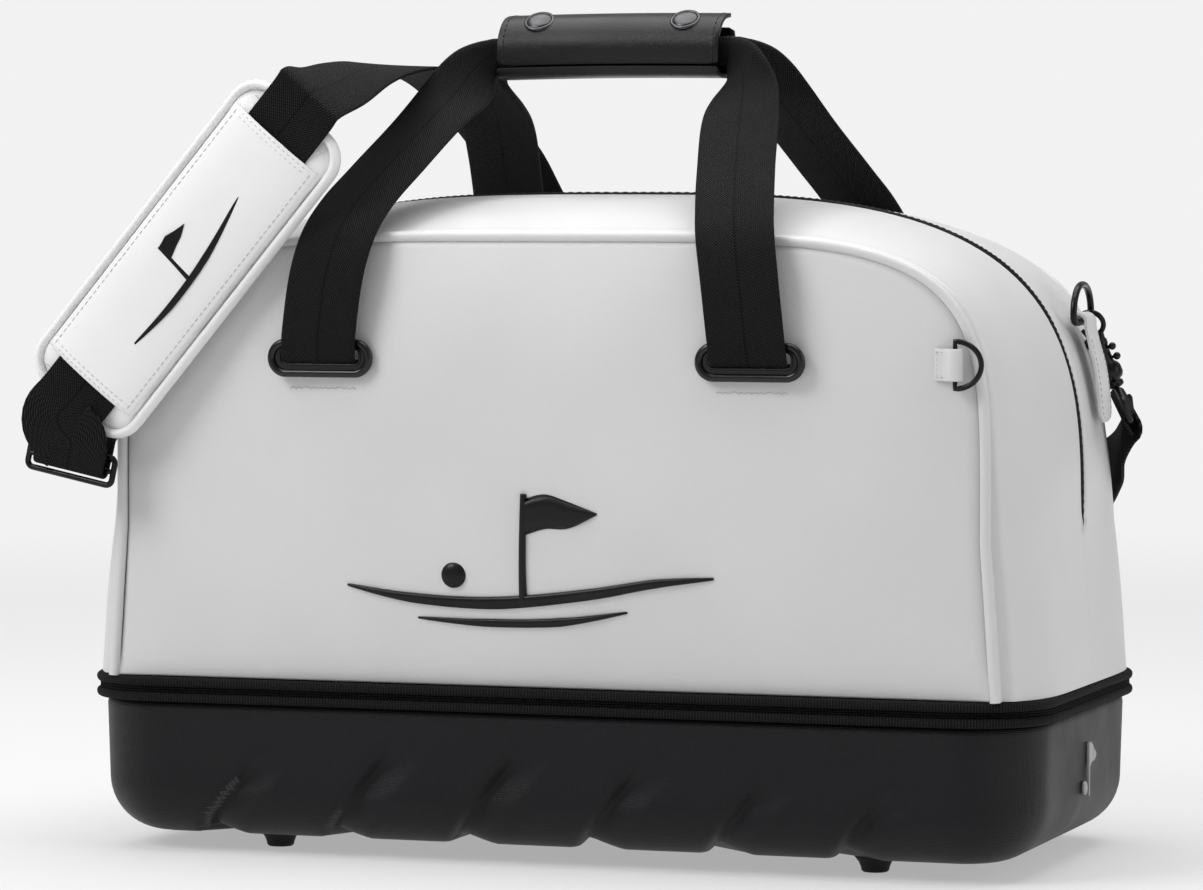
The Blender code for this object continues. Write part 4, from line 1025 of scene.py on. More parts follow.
def zip_stop(x_side):
    """The rounded leather end below the zip's gap."""
    x, z = outline_point(1.0, CROWN)
    points = []
    for a in np.linspace(-0.15, pi + 0.15, 15):
        points.append((x_side * (x + 0.0001), 0.0042 * cos(a), z + 0.0050 - 0.0058 * sin(a)))
    tube(f"zip_end_{'left' if x_side < 0 else 'right'}", points, 0.0005, WHITE, "upper")


def build_upper():
    for side in (-1, 1):
        main_panel(side)
        piping(side)
        zip_stop(side)
    for x_side in (-1, 1):
        for y_side in (-1, 1):
            gusset_quarter(x_side, y_side)
            zip_quarter(x_side, y_side)
    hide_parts("end_gusset_left", "mouth_flap_front")
    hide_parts("end_gusset_right", "mouth_flap_rear")
    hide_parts("main_zip_left", "mouth_zip_front")
    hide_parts("main_zip_right", "mouth_zip_rear")
    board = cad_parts["base_board"]
    board.data.materials.clear()
    board.data.materials.append(LINING)


# ===================================================================================================
# grommets, handles and grip
# ===================================================================================================
def make_grommet(node, x, side):
    """An oval eyelet: rounded rim, sunk floor and the slot the webbing leaves by."""
    body = "upper"
    matrix = frame_matrix((x, side * GROMMET_Y, GROMMET_Z), (1, 0, 0), (0, side, 0))
    ledge = matrix @ Matrix.Translation((0, 0, -0.0006))
    slot_shape = [(u, w + 0.0009) for u, w in rounded_outline(0.0206, 0.0040, 0.0030, 5)]
    plate(f"{node}_ledge", [rounded_outline(0.0266, 0.0090, 0.0089, 12), slot_shape], 0.0024, 0.0005,
          ledge, GLOSS, body, (node,))
    rim = [matrix @ Vector((u, w, 0.0004)) for u, w in rounded_outline(0.0250, 0.0073, 0.0072, 12)]
    tube(f"{node}_rim", rim, 0.0020, GLOSS, body, closed=True)
    lip = [matrix @ Vector((u, w, 0.0006)) for u, w in slot_shape]
    tube(f"{node}_slot_lip", lip, 0.0006, GLOSS, body, closed=True)
    row = []
    for u in np.linspace(-0.0175, 0.0175, 23):
        z = GROMMET_Z - 0.0145 + (0.0006 if round((u + 0.0175) / 0.0035 * 2) % 2 else -0.0006)
        row.append((x + u, side * (panel_y(x + u, z) + 0.0002), z))
    stitch_row(f"{node}_bar_stitch", row, body, THREAD, 0.0018, 0.0015, 0.00028)


def handle_rows(side):
    wide, thin = WEB_WIDTH, WEB_THICKNESS
    rows = [
        ((-0.1080, 0.1205, 0.2420), (1, 0, 0), wide, thin),
        ((-0.1080, 0.1236, 0.2420), (1, 0, 0), wide, thin),
        ((-0.1080, 0.1258, 0.2436), (1, 0, 0), wide, thin),
        ((-0.1077, 0.1266, 0.2470), (1, 0, 0), wide, thin),
        ((-0.1068, 0.1278, 0.2570), (1, 0, 0), wide, thin),
        ((-0.1035, 0.1264, 0.2830), (1, 0, 0), wide, thin),
        ((-0.0995, 0.1200, 0.3030), (1, 0, 0), wide, thin),
        ((-0.0950, 0.1060, 0.3185), (1, 0, 0), wide, thin),
        ((-0.0885, 0.0830, 0.3350), (1, 0, 0), wide, thin),
        ((-0.0800, 0.0500, 0.3570), (1, 0, 0), wide, thin),
        ((-0.0745, 0.0260, 0.3720), (0.95, 0, -0.3), 0.035, 0.0028),
        ((-0.0700, 0.0125, 0.3845), (0.50, 0, -0.86), 0.026, 0.0044),
        ((-0.0630, 0.0062, 0.3915), (0.10, 0, -0.99), 0.0165, 0.0062),
        ((-0.0560, 0.0056, 0.3925), (0, 0, -1), 0.0140, 0.0066),
        ((-0.0250, 0.0056, 0.3925), (0, 0, -1), 0.0140, 0.0066),
    ]
    return [((x, side * y, z), across, width, thickness) for (x, y, z), across, width, thickness in rows]


def make_handle(name, side):
    left = handle_rows(side)
    right = [((-x, y, z), (-a, b, c), width, thickness)
             for (x, y, z), (a, b, c), width, thickness in reversed(left)]
    web = ribbon(f"{name}_web", left + right, 7, WEB, None, (f"{name}_web",))
    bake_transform(web)


def bent_leather(name, profile, body, replaces, round_start, round_end, thickness=0.0021):
    """A leather sheet bent to a (y, z) profile, with rounded corners at its two long edges."""
    path = smooth_path(profile, 6)
    walked = np.concatenate([[0], np.cumsum(np.linalg.norm(np.diff(path, axis=0), axis=1))])
    rows, edges = [], []
    for (y, z), at in zip(path, walked):
        cut = 0.0
        for room, radius in ((at, round_start), (walked[-1] - at, round_end)):
            if room < radius:
                cut = max(cut, radius - (radius ** 2 - (radius - room) ** 2) ** 0.5)
        half = GRIP_HALF - cut
        sag = [0.0006 * (1 - (x / half) ** 2) for x in np.linspace(-half, half, 41)]
        rows.append([(x, y, z + d) for x, d in zip(np.linspace(-half, half, 41), sag)])
        edges.append((half, y, z))
    mesh = outward(grid_mesh(name, rows), (0, 0, 0.3945))
    piece = add_piece(name, mesh, BLACK_HIDE, body, replaces)
    wall(piece, thickness, offset=1.0)
    soft = piece.modifiers.new("edge", "BEVEL")
    soft.width = 0.0006
    soft.segments = 2
    soft.limit_method = "ANGLE"
    soft.angle_limit = radians(55)
    return piece, path, edges


def make_grip():
    """The leather wrap over both handles: a trough below, a flap above that snaps shut."""
    trough = [(-0.0132, 0.3850), (-0.0124, 0.3828), (-0.0095, 0.3816), (0.0, 0.3812), (0.0090, 0.3816),
              (0.0116, 0.3835), (0.0120, 0.3900), (0.0120, 0.4045)]
    bent_leather("grip_trough", trough, "rear_handle", ("grip_wrap",), 0.0015, 0.003)
    flap = [(-0.0112, 0.3862), (-0.0122, 0.3895), (-0.0124, 0.3945), (-0.0114, 0.3985), (-0.0092, 0.4022),
            (-0.0055, 0.4058), (-0.0010, 0.4080), (0.0050, 0.4091), (0.0110, 0.4092), (0.0145, 0.4085)]
    _, path, edges = bent_leather("grip_cover", flap, "grip_flap", ("grip_flap",), 0.003, 0.009)
    lifted = []
    for (y, z), (half, _, _) in zip(path, edges):
        out = Vector((y * 0.9, z - 0.3945)).normalized() * 0.00225
        lifted.append((half - 0.0030, y + out.x, z + out.y))
    for name, side in (("left", -1), ("right", 1)):
        row = [(side * x, y, z) for x, y, z in lifted[3:-6]]
        stitch_row(f"grip_end_stitch_{name}", row, "grip_flap", DARK_THREAD, 0.0034, 0.0023, 0.00040)
    back = [(x, 0.0120, 0.4113) for x in np.linspace(-0.046, 0.046, 30)]
    stitch_row("grip_back_stitch", back, "grip_flap", DARK_THREAD, 0.0034, 0.0023, 0.00040)
    for name in ("left", "right"):
        make_snap(name)


def make_snap(name):
    out = Vector((0, -0.60, 0.80))
    middle = Vector((-0.038 if name == "left" else 0.038, -0.0062, 0.4080))
    matrix = frame_matrix(middle, (1, 0, 0), out)
    rim = [(0.0072, -0.0014), (0.0078, -0.0004), (0.0076, 0.0004), (0.0066, 0.0006), (0.0060, 0.0002)]
    dome = [(0.0062 * cos(a), 0.0002 + 0.0014 * sin(a)) for a in np.linspace(0, 1.45, 8)]
    mesh = lathe_mesh(f"snap_{name}", rim + dome, matrix, 40)
    add_piece(f"snap_{name}", mesh, SNAP, "grip_flap", (f"grip_snap_{name}",))


def build_handles():
    for row, side in (("front", -1), ("rear", 1)):
        for end, x in (("left", -GROMMET_X), ("right", GROMMET_X)):
            make_grommet(f"{row}_grommet_{end}", x, side)
        make_handle(f"{row}_handle", side)
    make_grip()


# ===================================================================================================
# sliders and pulls
# ===================================================================================================
def pull_shape(length):
    """A tapered pull with a rounded lower end, hanging from the origin."""
    points = [(-0.0024, 0.0), (0.0024, 0.0), (0.0036, -length + 0.004)]
    points += [(0.0036 * cos(a), -length + 0.004 - 0.0040 * sin(a)) for a in np.linspace(0.3, pi - 0.3, 8)]
    return points + [(-0.0036, -length + 0.004)]


def make_slider(name, node, body, along, out):
    low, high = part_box(node)
    middle = Vector([(a + b) / 2 for a, b in zip(low, high)])
    span = (high[1] - low[1]) if abs(along[1]) > 0.5 else (high[2] - low[2])
    shape = []
    for u, w in rounded_outline(span / 2, 0.0044, 0.0030, 5):
        taper = 1 - 0.22 * (u / (span / 2) + 1) / 2
        shape.append((u, w * taper))
    matrix = frame_matrix(middle, along, out)
    plate(f"{name}_body", [shape], 0.0040, 0.0012, matrix, METAL, body, (node,))
    bridge = []
    for a in np.linspace(0, pi, 9):
        bridge.append(matrix @ Vector((-0.0036 * cos(a), 0, 0.0012 + 0.0026 * sin(a))))
    tube(f"{name}_bridge", bridge, 0.0008, METAL, body)


def make_pull(name, node, body):
    low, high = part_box(node)
    middle = Vector(((low[0] + high[0]) / 2, (low[1] + high[1]) / 2, high[2]))
    matrix = frame_matrix(middle, (0, 1, 0), (-1, 0, 0))
    hole = [(0.0011 * cos(a), -0.0028 + 0.0013 * sin(a)) for a in np.arange(12) * 2 * pi / 12]
    slot_hole = [(0.0014 * cos(a), -0.0225 + 0.0040 * sin(a)) for a in np.arange(16) * 2 * pi / 16]
    shape = [(x, -y) for x, y in pull_shape(0.0296)]
    holes = [[(x, -y) for x, y in hole], [(x, -y) for x, y in slot_hole]]
    plate(f"{name}_tab", [shape] + holes, 0.0016, 0.0004, matrix, METAL, body, (node,))


def build_sliders():
    make_slider("main_slider", "main_zip_slider", "main_slider", (0.05, 0, 1), (-1, 0, 0.05))
    make_pull("main_pull", "main_zip_pull", "main_pull")
    make_slider("shoe_slider", "shoe_zip_slider", "shoe_slider", (0, -1, 0), (-1, 0, 0))
    make_pull("shoe_pull", "shoe_zip_pull", "shoe_pull")


# ===================================================================================================
# end rings, hooks and accessory ring
# ===================================================================================================
def ring_points():
    points = []
    for a in np.linspace(0, pi / 2, 9):
        points.append((RING_HALF_Y - RING_CORNER * (1 - sin(a)), RING_CORNER * (1 - cos(a))))
    for a in np.linspace(0, pi / 2, 16)[1:]:
        rise = RING_CORNER + (RING_RISE - RING_CORNER) * sin(a)
        points.append((RING_HALF_Y * max(cos(a), 0.0) ** 0.9, rise))
    points += [(-y, z) for y, z in reversed(points[:-1])]
    return [RING_PIVOT + Vector((0, y, z)) for y, z in points]


def make_ring_tab(name, turn):
    """A stitched leather tab folded over the ring's bar, with a rounded lower end."""
    pivot = RING_PIVOT
    line = [(0.2399, 0.2128), (0.2398, 0.2140), (0.2389, 0.2250), (0.2371, 0.2380), (0.2345, 0.2480),
            (0.2325, 0.2560)]
    for a in np.radians(np.linspace(-12, 188, 9)):
        line.append((pivot.x + 0.0034 * cos(a), pivot.z + 0.0034 * sin(a)))
    path = smooth_path(line, 4)
    rows, edge = [], []
    for x, z in path:
        top = min(1.0, max(0.0, (z - 0.236) / 0.022))
        half = 0.0110 - 0.0015 * top
        room = max(0.0, z - 0.2128)
        if room < 0.006:
            half -= 0.006 - (0.006 ** 2 - (0.006 - room) ** 2) ** 0.5
        puff = [0.0005 * (1 - (2 * t - 1) ** 2) for t in np.linspace(0, 1, 13)]
        rows.append([turn(Vector((x + d, pivot.y + y, z)))
                     for y, d in zip(np.linspace(-half, half, 13), puff)])
        if x > 0.2330 and z < 0.2585:
            edge.append((x, half - 0.0022, z))
    mesh = outward(grid_mesh(name, rows), turn(Vector((0.215, pivot.y, 0.24))))
    piece = add_piece(name, mesh, WHITE, "upper", (name.replace("tab_leather", "ring_tab"),))
    wall(piece, 0.0015, offset=1.0)
    soft = piece.modifiers.new("edge", "BEVEL")
    soft.width = 0.0004
    soft.segments = 2
    soft.limit_method = "ANGLE"
    soft.angle_limit = radians(55)
    right = [(x + 0.0019, y, z) for x, y, z in edge]
    left = [(x + 0.0019, -y, z) for x, y, z in edge]
    loop = list(reversed(right)) + left
    row = [turn(Vector((x, pivot.y + y, z))) for x, y, z in loop]
    stitch_row(f"{name}_stitch", row, "upper", THREAD, 0.0030, 0.0020, 0.00028)


def make_hook(prefix, turn, aim, body, gate_body):
    axis, eye_direction = aim
    bend = radians(30)
    wire = Vector((0, cos(bend), sin(bend)))
    held = RING_PIVOT + Vector((0, RING_HALF_Y - RING_CORNER * (1 - sin(bend)),
                                RING_CORNER * (1 - cos(bend))))
    normal = (wire - wire.dot(axis) * axis).normalized()
    side = normal.cross(axis)
    centre = held + axis * 0.0018
    bow = []
    for a in np.radians(np.linspace(84, -150, 26)):
        bow.append(turn(centre - axis * HOOK_LOOP * cos(a) + side * HOOK_LOOP * sin(a)))
    bow.append(turn(held + axis * 0.0108 - side * 0.0022))
    bow.append(turn(held + axis * 0.0135 - side * 0.0018))
    radii = [0.9, 1.0] + [1.0] * (len(bow) - 5) + [1.15, 1.4, 1.6]
    tube(f"{prefix}_bow", bow, HOOK_WIRE, METAL, body, replaces=(f"{prefix}_hook_bow",), radii=radii)
    tip = centre - axis * HOOK_LOOP * cos(radians(112)) + side * HOOK_LOOP * sin(radians(112))
    heel = held + axis * 0.0104 + side * 0.0030
    gate = [turn(tip), turn(tip.lerp(heel, 0.5)), turn(heel)]
    tube(f"{prefix}_gate_bar", gate, 0.0012, METAL, gate_body, replaces=(f"{prefix}_hook_gate",),
         radii=[0.8, 1.0, 1.1])
    profile = [(0.0026, 0.0104), (0.0038, 0.0110), (0.0043, 0.0122), (0.0043, 0.0140), (0.0038, 0.0150),
               (0.0037, 0.0232), (0.0042, 0.0246), (0.0052, 0.0256), (0.0060, 0.0270), (0.0061, 0.0306),
               (0.0055, 0.0322), (0.0040, 0.0330), (0.0034, 0.0342), (0.0044, 0.0352), (0.0044, 0.0366),
               (0.0022, 0.0372)]
    matrix = frame_matrix(turn(held), turn(side), turn(axis))
    mesh = lathe_mesh(f"{prefix}_shank", profile, matrix, 28)
    add_piece(f"{prefix}_shank", mesh, METAL, body, (f"{prefix}_hook_body",))
    for number, (along, out) in enumerate(((0.0160, 0.0060), (0.0216, 0.0064))):
        spot = turn(held + axis * along - side * out)
        ball = [(0.0019 * sin(t), -0.0019 * cos(t)) for t in np.linspace(0.25, pi - 0.25, 10)]
        knob = lathe_mesh(f"{prefix}_knob_{number}", ball, Matrix.Translation(spot), 16)
        add_piece(f"{prefix}_knob_{number}", knob, METAL, body)
        stem = [turn(held + axis * along - side * d) for d in (0.0020, out)]
        tube(f"{prefix}_knob_stem_{number}", stem, 0.0008, METAL, body)
    latch = [turn(held + axis * d + side * w) for d, w in ((0.0100, 0.0064), (0.0160, 0.0030))]
    tube(f"{prefix}_latch", latch, 0.0022, METAL, body)
    across = (eye_direction - eye_direction.dot(axis) * axis).normalized()
    bar = held + axis * EYE_BAR
    eye = [turn(bar + across * u + axis * (w - 0.0058))
           for u, w in rounded_outline(0.0232, 0.0058, 0.0026, 6)]
    tube(f"{prefix}_eye", eye, 0.0015, METAL, body, closed=True, replaces=(f"{prefix}_hook_eye",))
    return bar, axis, across


def make_accessory_ring():
    bar = ACCESSORY_BAR
    points = []
    for a in np.linspace(-pi / 2, pi / 2, 25):
        points.append(bar + Vector((0.0125 * cos(a), 0, 0.0110 * sin(a))))
    points += [bar + Vector((0, 0, h)) for h in (0.006, 0.0, -0.006)]
    tube("accessory_d", points, 0.0013, METAL, "accessory_ring", closed=True,
         replaces=("accessory_ring",))
    line = [(0.1945, -0.1129), (0.1965, -0.1132), (0.1990, -0.1136), (0.2014, -0.1152)]
    for a in np.radians(np.linspace(-120, 80, 9)):
        line.append((bar.x + 0.0027 * cos(a), bar.y + 0.0027 * sin(a)))
    path = smooth_path(line, 3)
    rows = [[(x, y, bar.z + z) for z in np.linspace(-0.0075, 0.0075, 7)] for x, y in path]
    mesh = outward(grid_mesh("accessory_tab", rows), (0, 0, 0.243))
    piece = add_piece("accessory_tab", mesh, WHITE, "upper", ("accessory_ring_tab",))
    wall(piece, 0.0013, offset=1.0)
    soft = piece.modifiers.new("edge", "BEVEL")
    soft.width = 0.0004
    soft.segments = 2
    soft.limit_method = "ANGLE"
    soft.angle_limit = radians(55)
    for k, dz in enumerate((-0.0058, 0.0058)):
        row = [(x, y - 0.0014, bar.z + dz) for x, y in path[:10]]
        stitch_row(f"accessory_tab_stitch_{k}", row, "upper", THREAD, 0.0022, 0.0015, 0.00024)
    across = [(0.1957, -0.1143, bar.z + dz) for dz in (-0.0058, 0.0058)]
    stitch_row("accessory_tab_stitch_across", across, "upper", THREAD, 0.0022, 0.0015, 0.00024)


# ===================================================================================================
# shoulder strap and pad
# ===================================================================================================
def pad_frame():
    across = Vector((0, -1, 0)).cross(PAD_AXIS).normalized()
    return across, PAD_AXIS.cross(across)


def pad_place(along, over, lift):
    across, out = pad_frame()
    return PAD_CENTRE + PAD_AXIS * along + across * over + out * lift


def make_pad():
    """The foam pad under its leather: swollen by cloth simulation, with a bound edge."""
    length, width, _ = PAD_SIZE
    _, out = pad_frame()
    half_l, half_w = length / 2 - 0.0012, width / 2 - 0.0012
    outline, _ = even_outline(half_l, half_w, 0.013, 0.004)
    rows = []
    for scale, lift in ((0.12, -0.0005), (0.45, -0.0004), (0.75, -0.0002), (0.92, -0.0006), (1.0, -0.0030),
                        (1.0, -0.0058), (0.92, -0.0078), (0.75, -0.0080), (0.45, -0.0080), (0.12, -0.0080)):
        rows.append([pad_place(u * scale, w * scale, lift) for u, w in outline])
    mesh = closed_outward(grid_mesh("pad_body", rows, wrap_columns=True, caps=True))
    pad = add_piece("pad_body", mesh, PAD_WHITE, None)
    swell(pad, 0.0016)
    smooth = pad.modifiers.new("smooth", "SUBSURF")
    smooth.levels = smooth.render_levels = 1
    settle(pad)
    pad.data.materials.clear()
    pad.data.materials.append(PAD_WHITE)
    pad.data.shade_smooth()
    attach(pad, "shoulder_pad")
    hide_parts("shoulder_pad")
    bound, _ = even_outline(half_l + 0.0004, half_w + 0.0004, 0.0134, 0.003)
    rim = [pad_place(u, w, -0.0040) for u, w in bound]
    flat_tube("pad_binding", rim, 0.0024, 0.0042, out, PAD_WHITE, "shoulder_pad")
    for end in (-1, 1):
        row = [pad_place(end * (half_l - 0.0062), w, 0.0008) for w in np.linspace(-0.0225, 0.0225, 24)]
        stitch_row(f"pad_end_stitch_{end + 1}", row, "shoulder_pad", THREAD, 0.0034, 0.0023, 0.00032)
    return pad


def swell(piece, cap):
    """Blows a closed skin up a little as cloth, and keeps each point within cap of its start."""
    scene = bpy.context.scene
    mesher = piece.modifiers.new("remesh", "REMESH")
    mesher.mode = "VOXEL"
    mesher.voxel_size = 0.0026
    settle(piece)
    start = np.array([v.co for v in piece.data.vertices])
    cloth = piece.modifiers.new("cloth", "CLOTH")
    cloth.settings.use_pressure = True
    cloth.settings.uniform_pressure_force = 4
    cloth.settings.effector_weights.gravity = 0
    cloth.settings.quality = 6
    cloth.collision_settings.use_collision = False
    cloth.point_cache.frame_start = 1
    cloth.point_cache.frame_end = 16
    for number in range(1, 17):
        scene.frame_set(number)
    settle(piece)
    scene.frame_set(1)
    moved = np.array([v.co for v in piece.data.vertices]) - start
    far = np.linalg.norm(moved, axis=1)
    keep = np.minimum(1.0, cap / np.maximum(far, 1e-9))
    piece.data.vertices.foreach_set("co", (start + moved * keep[:, None]).ravel())


def flat_tube(name, points, across, tall, up, material, body):
    """A closed binding of oval section round a flat shape."""
    points = np.array(points)
    up = np.array(up)
    ahead = np.roll(points, -1, axis=0) - np.roll(points, 1, axis=0)
    ahead /= np.linalg.norm(ahead, axis=1)[:, None]
    side = np.cross(ahead, up)
    rows = []
    for k in range(len(points)):
        rows.append([points[k] + side[k] * across * cos(a) + up * tall * sin(a)
                     for a in np.arange(14) * 2 * pi / 14])
    mesh = closed_outward(grid_mesh(name, rows, wrap_rows=True, wrap_columns=True))
    return add_piece(name, mesh, material, body)


def make_sleeve():
    """The leather sleeve on the pad that the webbing runs through, stitched along both sides."""
    rows = []
    section = [(-0.0270, 0.0004), (-0.0262, 0.0011), (-0.0246, 0.0013), (-0.0228, 0.0022)]
    section += [(a, 0.0046 - 0.0020 * abs(a / 0.021) ** 2.6) for a in np.linspace(-0.021, 0.021, 15)]
    section += [(-a, n) for a, n in reversed(section[:4])]
    for along in np.linspace(-0.0760, 0.0760, 60):
        ripple = 0.00018 * sin(along * 210) * (abs(along) / 0.076) ** 2
        rows.append([pad_place(along, a, n + ripple * (1 - abs(a) / 0.027)) for a, n in section])
    _, out = pad_frame()
    mesh = outward(grid_mesh("pad_sleeve_leather", rows), PAD_CENTRE - out * 0.05)
    piece = add_piece("pad_sleeve_leather", mesh, PAD_WHITE, "shoulder_pad", ("pad_sleeve",))
    wall(piece, 0.0012, offset=0.2)
    for k, end in enumerate((-1, 1)):
        for j, back in enumerate((0.0016, 0.0040)):
            row = [pad_place(end * (0.0760 - back), a, n + 0.0006) for a, n in section[2:-2]]
            stitch_row(f"sleeve_end_stitch_{k}{j}", row, "shoulder_pad", THREAD, 0.0030, 0.0020, 0.00030)
    for k, a in enumerate((-0.0247, 0.0247)):
        row = [pad_place(t, a, 0.0021) for t in np.linspace(-0.074, 0.074, 60)]
        stitch_row(f"sleeve_side_stitch_{k}", row, "shoulder_pad", THREAD, 0.0034, 0.0023, 0.00034)


def eye_loop(bar, axis, across):
    side = across.cross(axis).normalized()
    places = [bar + axis * 0.0090 - side * 0.0014]
    for s in range(5):
        angle = pi * s / 4
        places.append(bar - side * 0.0029 * cos(angle) - axis * 0.0029 * sin(angle))
    places.append(bar + axis * 0.0070 + side * 0.0029)
    return [(place, across, WEB_WIDTH, WEB_THICKNESS) for place in places]


def make_strap(right_hook, left_hook):
    wide, thin = WEB_WIDTH, WEB_THICKNESS
    across, out = pad_frame()
    rows = eye_loop(*right_hook)
    behind = [
        ((0.2390, 0.0790, 0.2030), (0.20, -0.75, -0.63)),
        ((0.2325, 0.1000, 0.1920), (0.10, -0.50, -0.86)),
        ((0.2150, 0.1290, 0.1780), (0, -0.15, -0.98)),
        ((0.1740, 0.1385, 0.1560), (0.10, 0, -0.99)),
        ((0.1200, 0.1400, 0.1400), (0, 0, -1)),
        ((0.0600, 0.1400, 0.1420), (-0.20, 0, -0.98)),
        ((0.0080, 0.1400, 0.1680), (-0.55, 0, -0.83)),
        ((-0.0350, 0.1400, 0.2120), (-0.82, 0, -0.57)),
        ((-0.0640, 0.1400, 0.2580), (-0.93, 0, -0.36)),
        ((-0.0830, 0.1390, 0.2950), (-1, 0, -0.2)),
        ((-0.0930, 0.1320, 0.3210), (-1, 0, -0.1)),
        ((-0.0980, 0.1130, 0.3440), (-1, 0, 0)),
        ((-0.1020, 0.0800, 0.3630), (-1, 0, 0)),
        ((-0.1060, 0.0400, 0.3790), (-1, 0, 0)),
        ((-0.1080, 0.0000, 0.3850), (-1, 0, 0)),
        ((-0.1080, -0.0400, 0.3850), (-1, 0, 0.12)),
        ((-0.1080, -0.0750, 0.3810), (-0.97, 0, 0.25)),
        ((-0.1085, -0.1040, 0.3745), (-0.88, 0, 0.45)),
    ]
    rows += [(Vector(place), Vector(w), wide, thin) for place, w in behind]
    for s, lift in ((0.104, 0.0014), (0.094, 0.0014), (0.050, 0.0014), (0.0, 0.0014),
                    (-0.050, 0.0014), (-0.088, 0.0018), (-0.100, 0.0030)):
        rows.append((PAD_CENTRE + out * lift + PAD_AXIS * s, across, wide, thin))
    rows.append((Vector((-0.2375, -0.1352, 0.2065)), Vector((-0.96, 0, 0.26)), wide, thin))
    in_front = Vector((0, -0.0038, 0))
    rows.append((SLIDE_BAR + in_front + SLIDE_UP * 0.0100, -SLIDE_ALONG, wide, thin))
    for s in range(5):
        angle = pi * s / 4
        turn = Vector((0, -0.0034 * cos(angle), 0)) - SLIDE_UP * (0.0034 * sin(angle))
        rows.append((SLIDE_BAR + turn, -SLIDE_ALONG, wide, thin))
    inner = [
        ((-0.2345, -0.1260, 0.1985), (-0.97, 0, 0.20)),
        ((-0.2348, -0.1232, 0.2060), (-0.93, -0.25, 0.20)),
        ((-0.2365, -0.1130, 0.2130), (-0.62, -0.50, 0.60)),
    ]
    rows += [(Vector(place), Vector(w), wide, thin) for place, w in inner]
    bar, axis, bar_dir = left_hook
    rows += reversed(eye_loop(half_turn(bar), half_turn(axis), half_turn(bar_dir)))
    ribbon("shoulder_web", rows, 8, WEB, "upper", ("strap_web",))


def make_strap_slide():
    slide = [SLIDE_BAR + SLIDE_ALONG * u + SLIDE_UP * w
             for u, w in rounded_outline(0.0228, 0.0068, 0.003, 6)]
    tube("slide_frame", slide, 0.0015, METAL, "strap_slide", closed=True, replaces=("strap_slide",))
    bar = [SLIDE_BAR + SLIDE_ALONG * u for u in (-0.0222, 0.0222)]
    tube("slide_bar", bar, 0.0013, METAL, "strap_slide", replaces=("strap_slide_bar",))


def build_strap():
    def stay(point):
        return Vector(point)

    for name, turn, body in (("right", stay, "right_ring"), ("left", half_turn, "left_ring")):
        tube(f"d_wire_{name}", [turn(p) for p in ring_points()], RING_WIRE, METAL, body, closed=True,
             replaces=(f"d_ring_{name}",))
        make_ring_tab(f"tab_leather_{name}", turn)
    right_hook = make_hook("right", stay, RIGHT_HOOK, "right_ring", "right_gate")
    left_hook = make_hook("left", half_turn, LEFT_HOOK, "left_ring", "left_gate")
    make_accessory_ring()
    make_strap(right_hook, left_hook)
    make_pad()
    make_sleeve()
    make_strap_slide()


# ===================================================================================================
# raised emblems: a generic pin flag, ball and fairway
# ===================================================================================================
def stroke(name, line, widths, height, place, material, body, replaces=()):
    """A raised rubber stroke of varying width; place maps (x, z, lift) to the surface."""
    path = smooth_path(line, 10)
    ahead = np.gradient(path, axis=0)
    ahead /= np.linalg.norm(ahead, axis=1)[:, None]
    side = np.column_stack([-ahead[:, 1], ahead[:, 0]])
    at = np.linspace(0, 1, len(path))
    wide = np.interp(at, np.linspace(0, 1, len(widths)), widths)
    rows = []
    for k, (x, z) in enumerate(path):
        ring = []
        for a in np.linspace(0, pi, 11):
            over = cos(a) * wide[k] / 2
            ring.append(place(x + side[k][0] * over, z + side[k][1] * over,
                              height * sin(a) ** 0.6 * min(1.0, wide[k] / 0.003)))
        rows.append(ring + [place(x, z, -0.0008)])
    mesh = closed_outward(grid_mesh(name, rows, wrap_columns=True, caps=True))
    return add_piece(name, mesh, material, body, replaces)


def front_place(x, z, lift):
    return (x, -(panel_y(x, z) + lift), z)


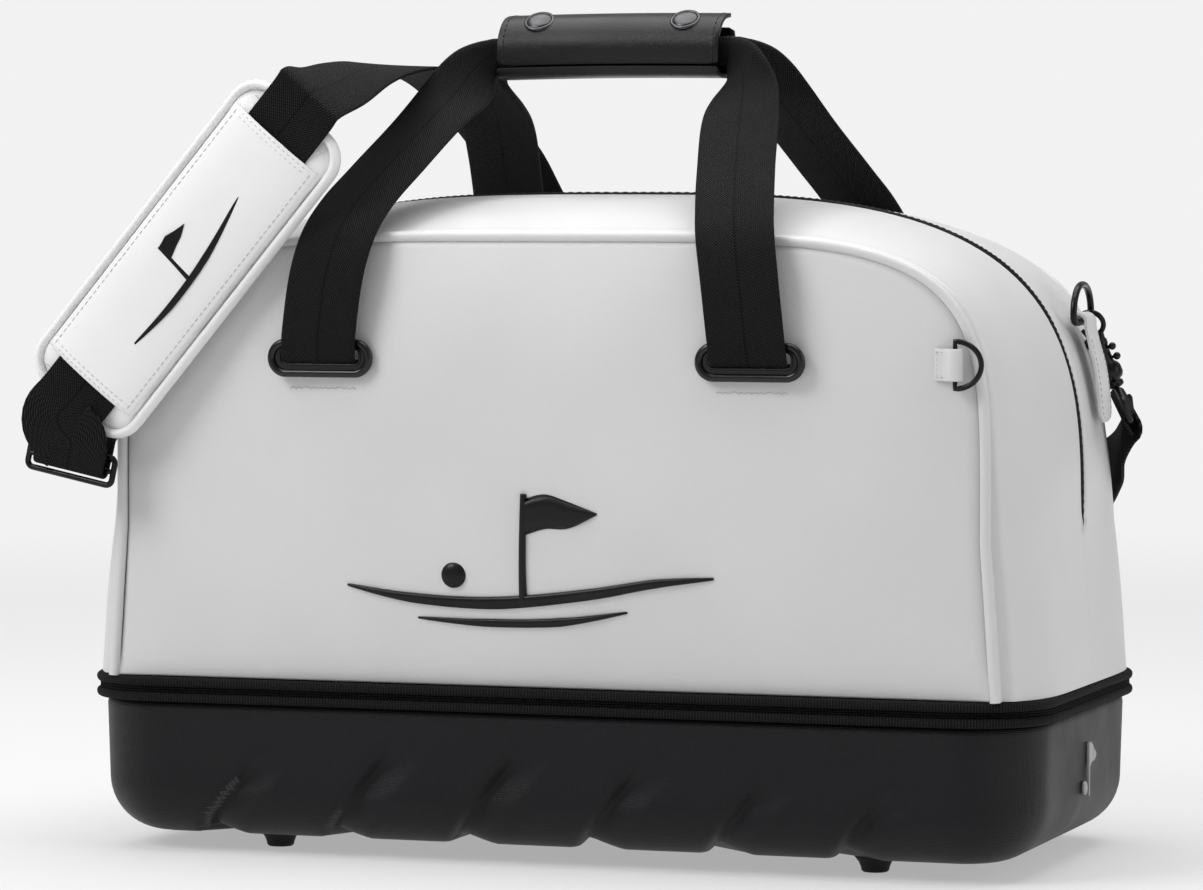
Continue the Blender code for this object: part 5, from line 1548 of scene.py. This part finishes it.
def build_emblems():
    """Front: a flag on its pole, a ball beside it and two fairway lines below."""
    body = "upper"
    fairway = [(-0.096, 0.1345), (-0.062, 0.1290), (-0.020, 0.1275), (0.026, 0.1325), (0.060, 0.1385),
               (0.089, 0.1415)]
    stroke("emblem_fairway_upper", fairway, (0.0012, 0.0050, 0.0062, 0.0056, 0.0044, 0.0012), 0.0022,
           front_place, RUBBER, body, ("emblem_fairway",))
    rough = [(-0.060, 0.1195), (-0.026, 0.1178), (0.012, 0.1190), (0.046, 0.1245)]
    stroke("emblem_fairway_lower", rough, (0.0010, 0.0040, 0.0044, 0.0010), 0.0020, front_place, RUBBER,
           body)
    pole = [(-0.0060, 0.1290), (-0.0058, 0.1460), (-0.0052, 0.1640), (-0.0046, 0.1800)]
    stroke("emblem_pole", pole, (0.0040, 0.0034, 0.0032, 0.0030), 0.0022, front_place, RUBBER, body,
           ("emblem_flag",))
    upper_edge = [(-0.0046, 0.1775), (0.006, 0.1800), (0.018, 0.1765), (0.032, 0.1715)]
    lower_edge = [(-0.0050, 0.1600), (0.006, 0.1635), (0.018, 0.1640), (0.032, 0.1705)]
    top, low = smooth_path(upper_edge, 8), smooth_path(lower_edge, 8)
    rows = []
    for k in range(len(top)):
        row = []
        for t in np.linspace(0, 1, 9):
            x, z = top[k] + (low[k] - top[k]) * t
            end = min(1.0, (len(top) - 1 - k) / 4)
            row.append(front_place(x, z, 0.0020 * min(1.0, 6 * t * (1 - t) + 0.15) * (0.3 + 0.7 * end)))
        rows.append(row + [front_place(*(top[k] + low[k]) / 2, -0.0008)])
    mesh = closed_outward(grid_mesh("emblem_pennant", rows, wrap_columns=True, caps=True))
    add_piece("emblem_pennant", mesh, RUBBER, body)
    centre = Vector(front_place(-0.041, 0.1405, 0.0))
    matrix = frame_matrix(centre, (1, 0, 0), (0, -1, 0))
    dome = [(0.0062, -0.0010)] + [(0.0062 * cos(a), 0.0024 * sin(a)) for a in np.linspace(0, 1.4, 9)]
    add_piece("emblem_ball", lathe_mesh("emblem_ball", dome, matrix, 36), RUBBER, body)
    build_pad_emblem()


def build_pad_emblem():
    def place(x, z, lift):
        return pad_place(x, z, 0.0050 + lift)

    line = [(-0.046, -0.0085), (-0.020, -0.0110), (0.010, -0.0098), (0.044, -0.0040)]
    stroke("pad_fairway", line, (0.0010, 0.0034, 0.0036, 0.0010), 0.0008, place, RUBBER,
           "shoulder_pad", ("pad_emblem",))
    stroke("pad_pole", [(-0.004, -0.0105), (-0.003, 0.0), (-0.002, 0.0120)], (0.0024, 0.0021, 0.0019),
           0.0008, place, RUBBER, "shoulder_pad")
    _, out = pad_frame()
    flag = [(-0.0020, 0.0118), (0.0040, 0.0128), (0.0090, 0.0108), (0.0150, 0.0090), (0.0090, 0.0062),
            (0.0040, 0.0052), (-0.0022, 0.0034)]
    matrix = frame_matrix(pad_place(0, 0, 0.0052), PAD_AXIS, out)
    plate("pad_pennant", [flag], 0.0011, 0.0003, matrix, RUBBER, "shoulder_pad")


add_camera()
add_studio()
add_floor()
build_tray()
build_upper()
build_handles()
build_sliders()
build_strap()
build_emblems()
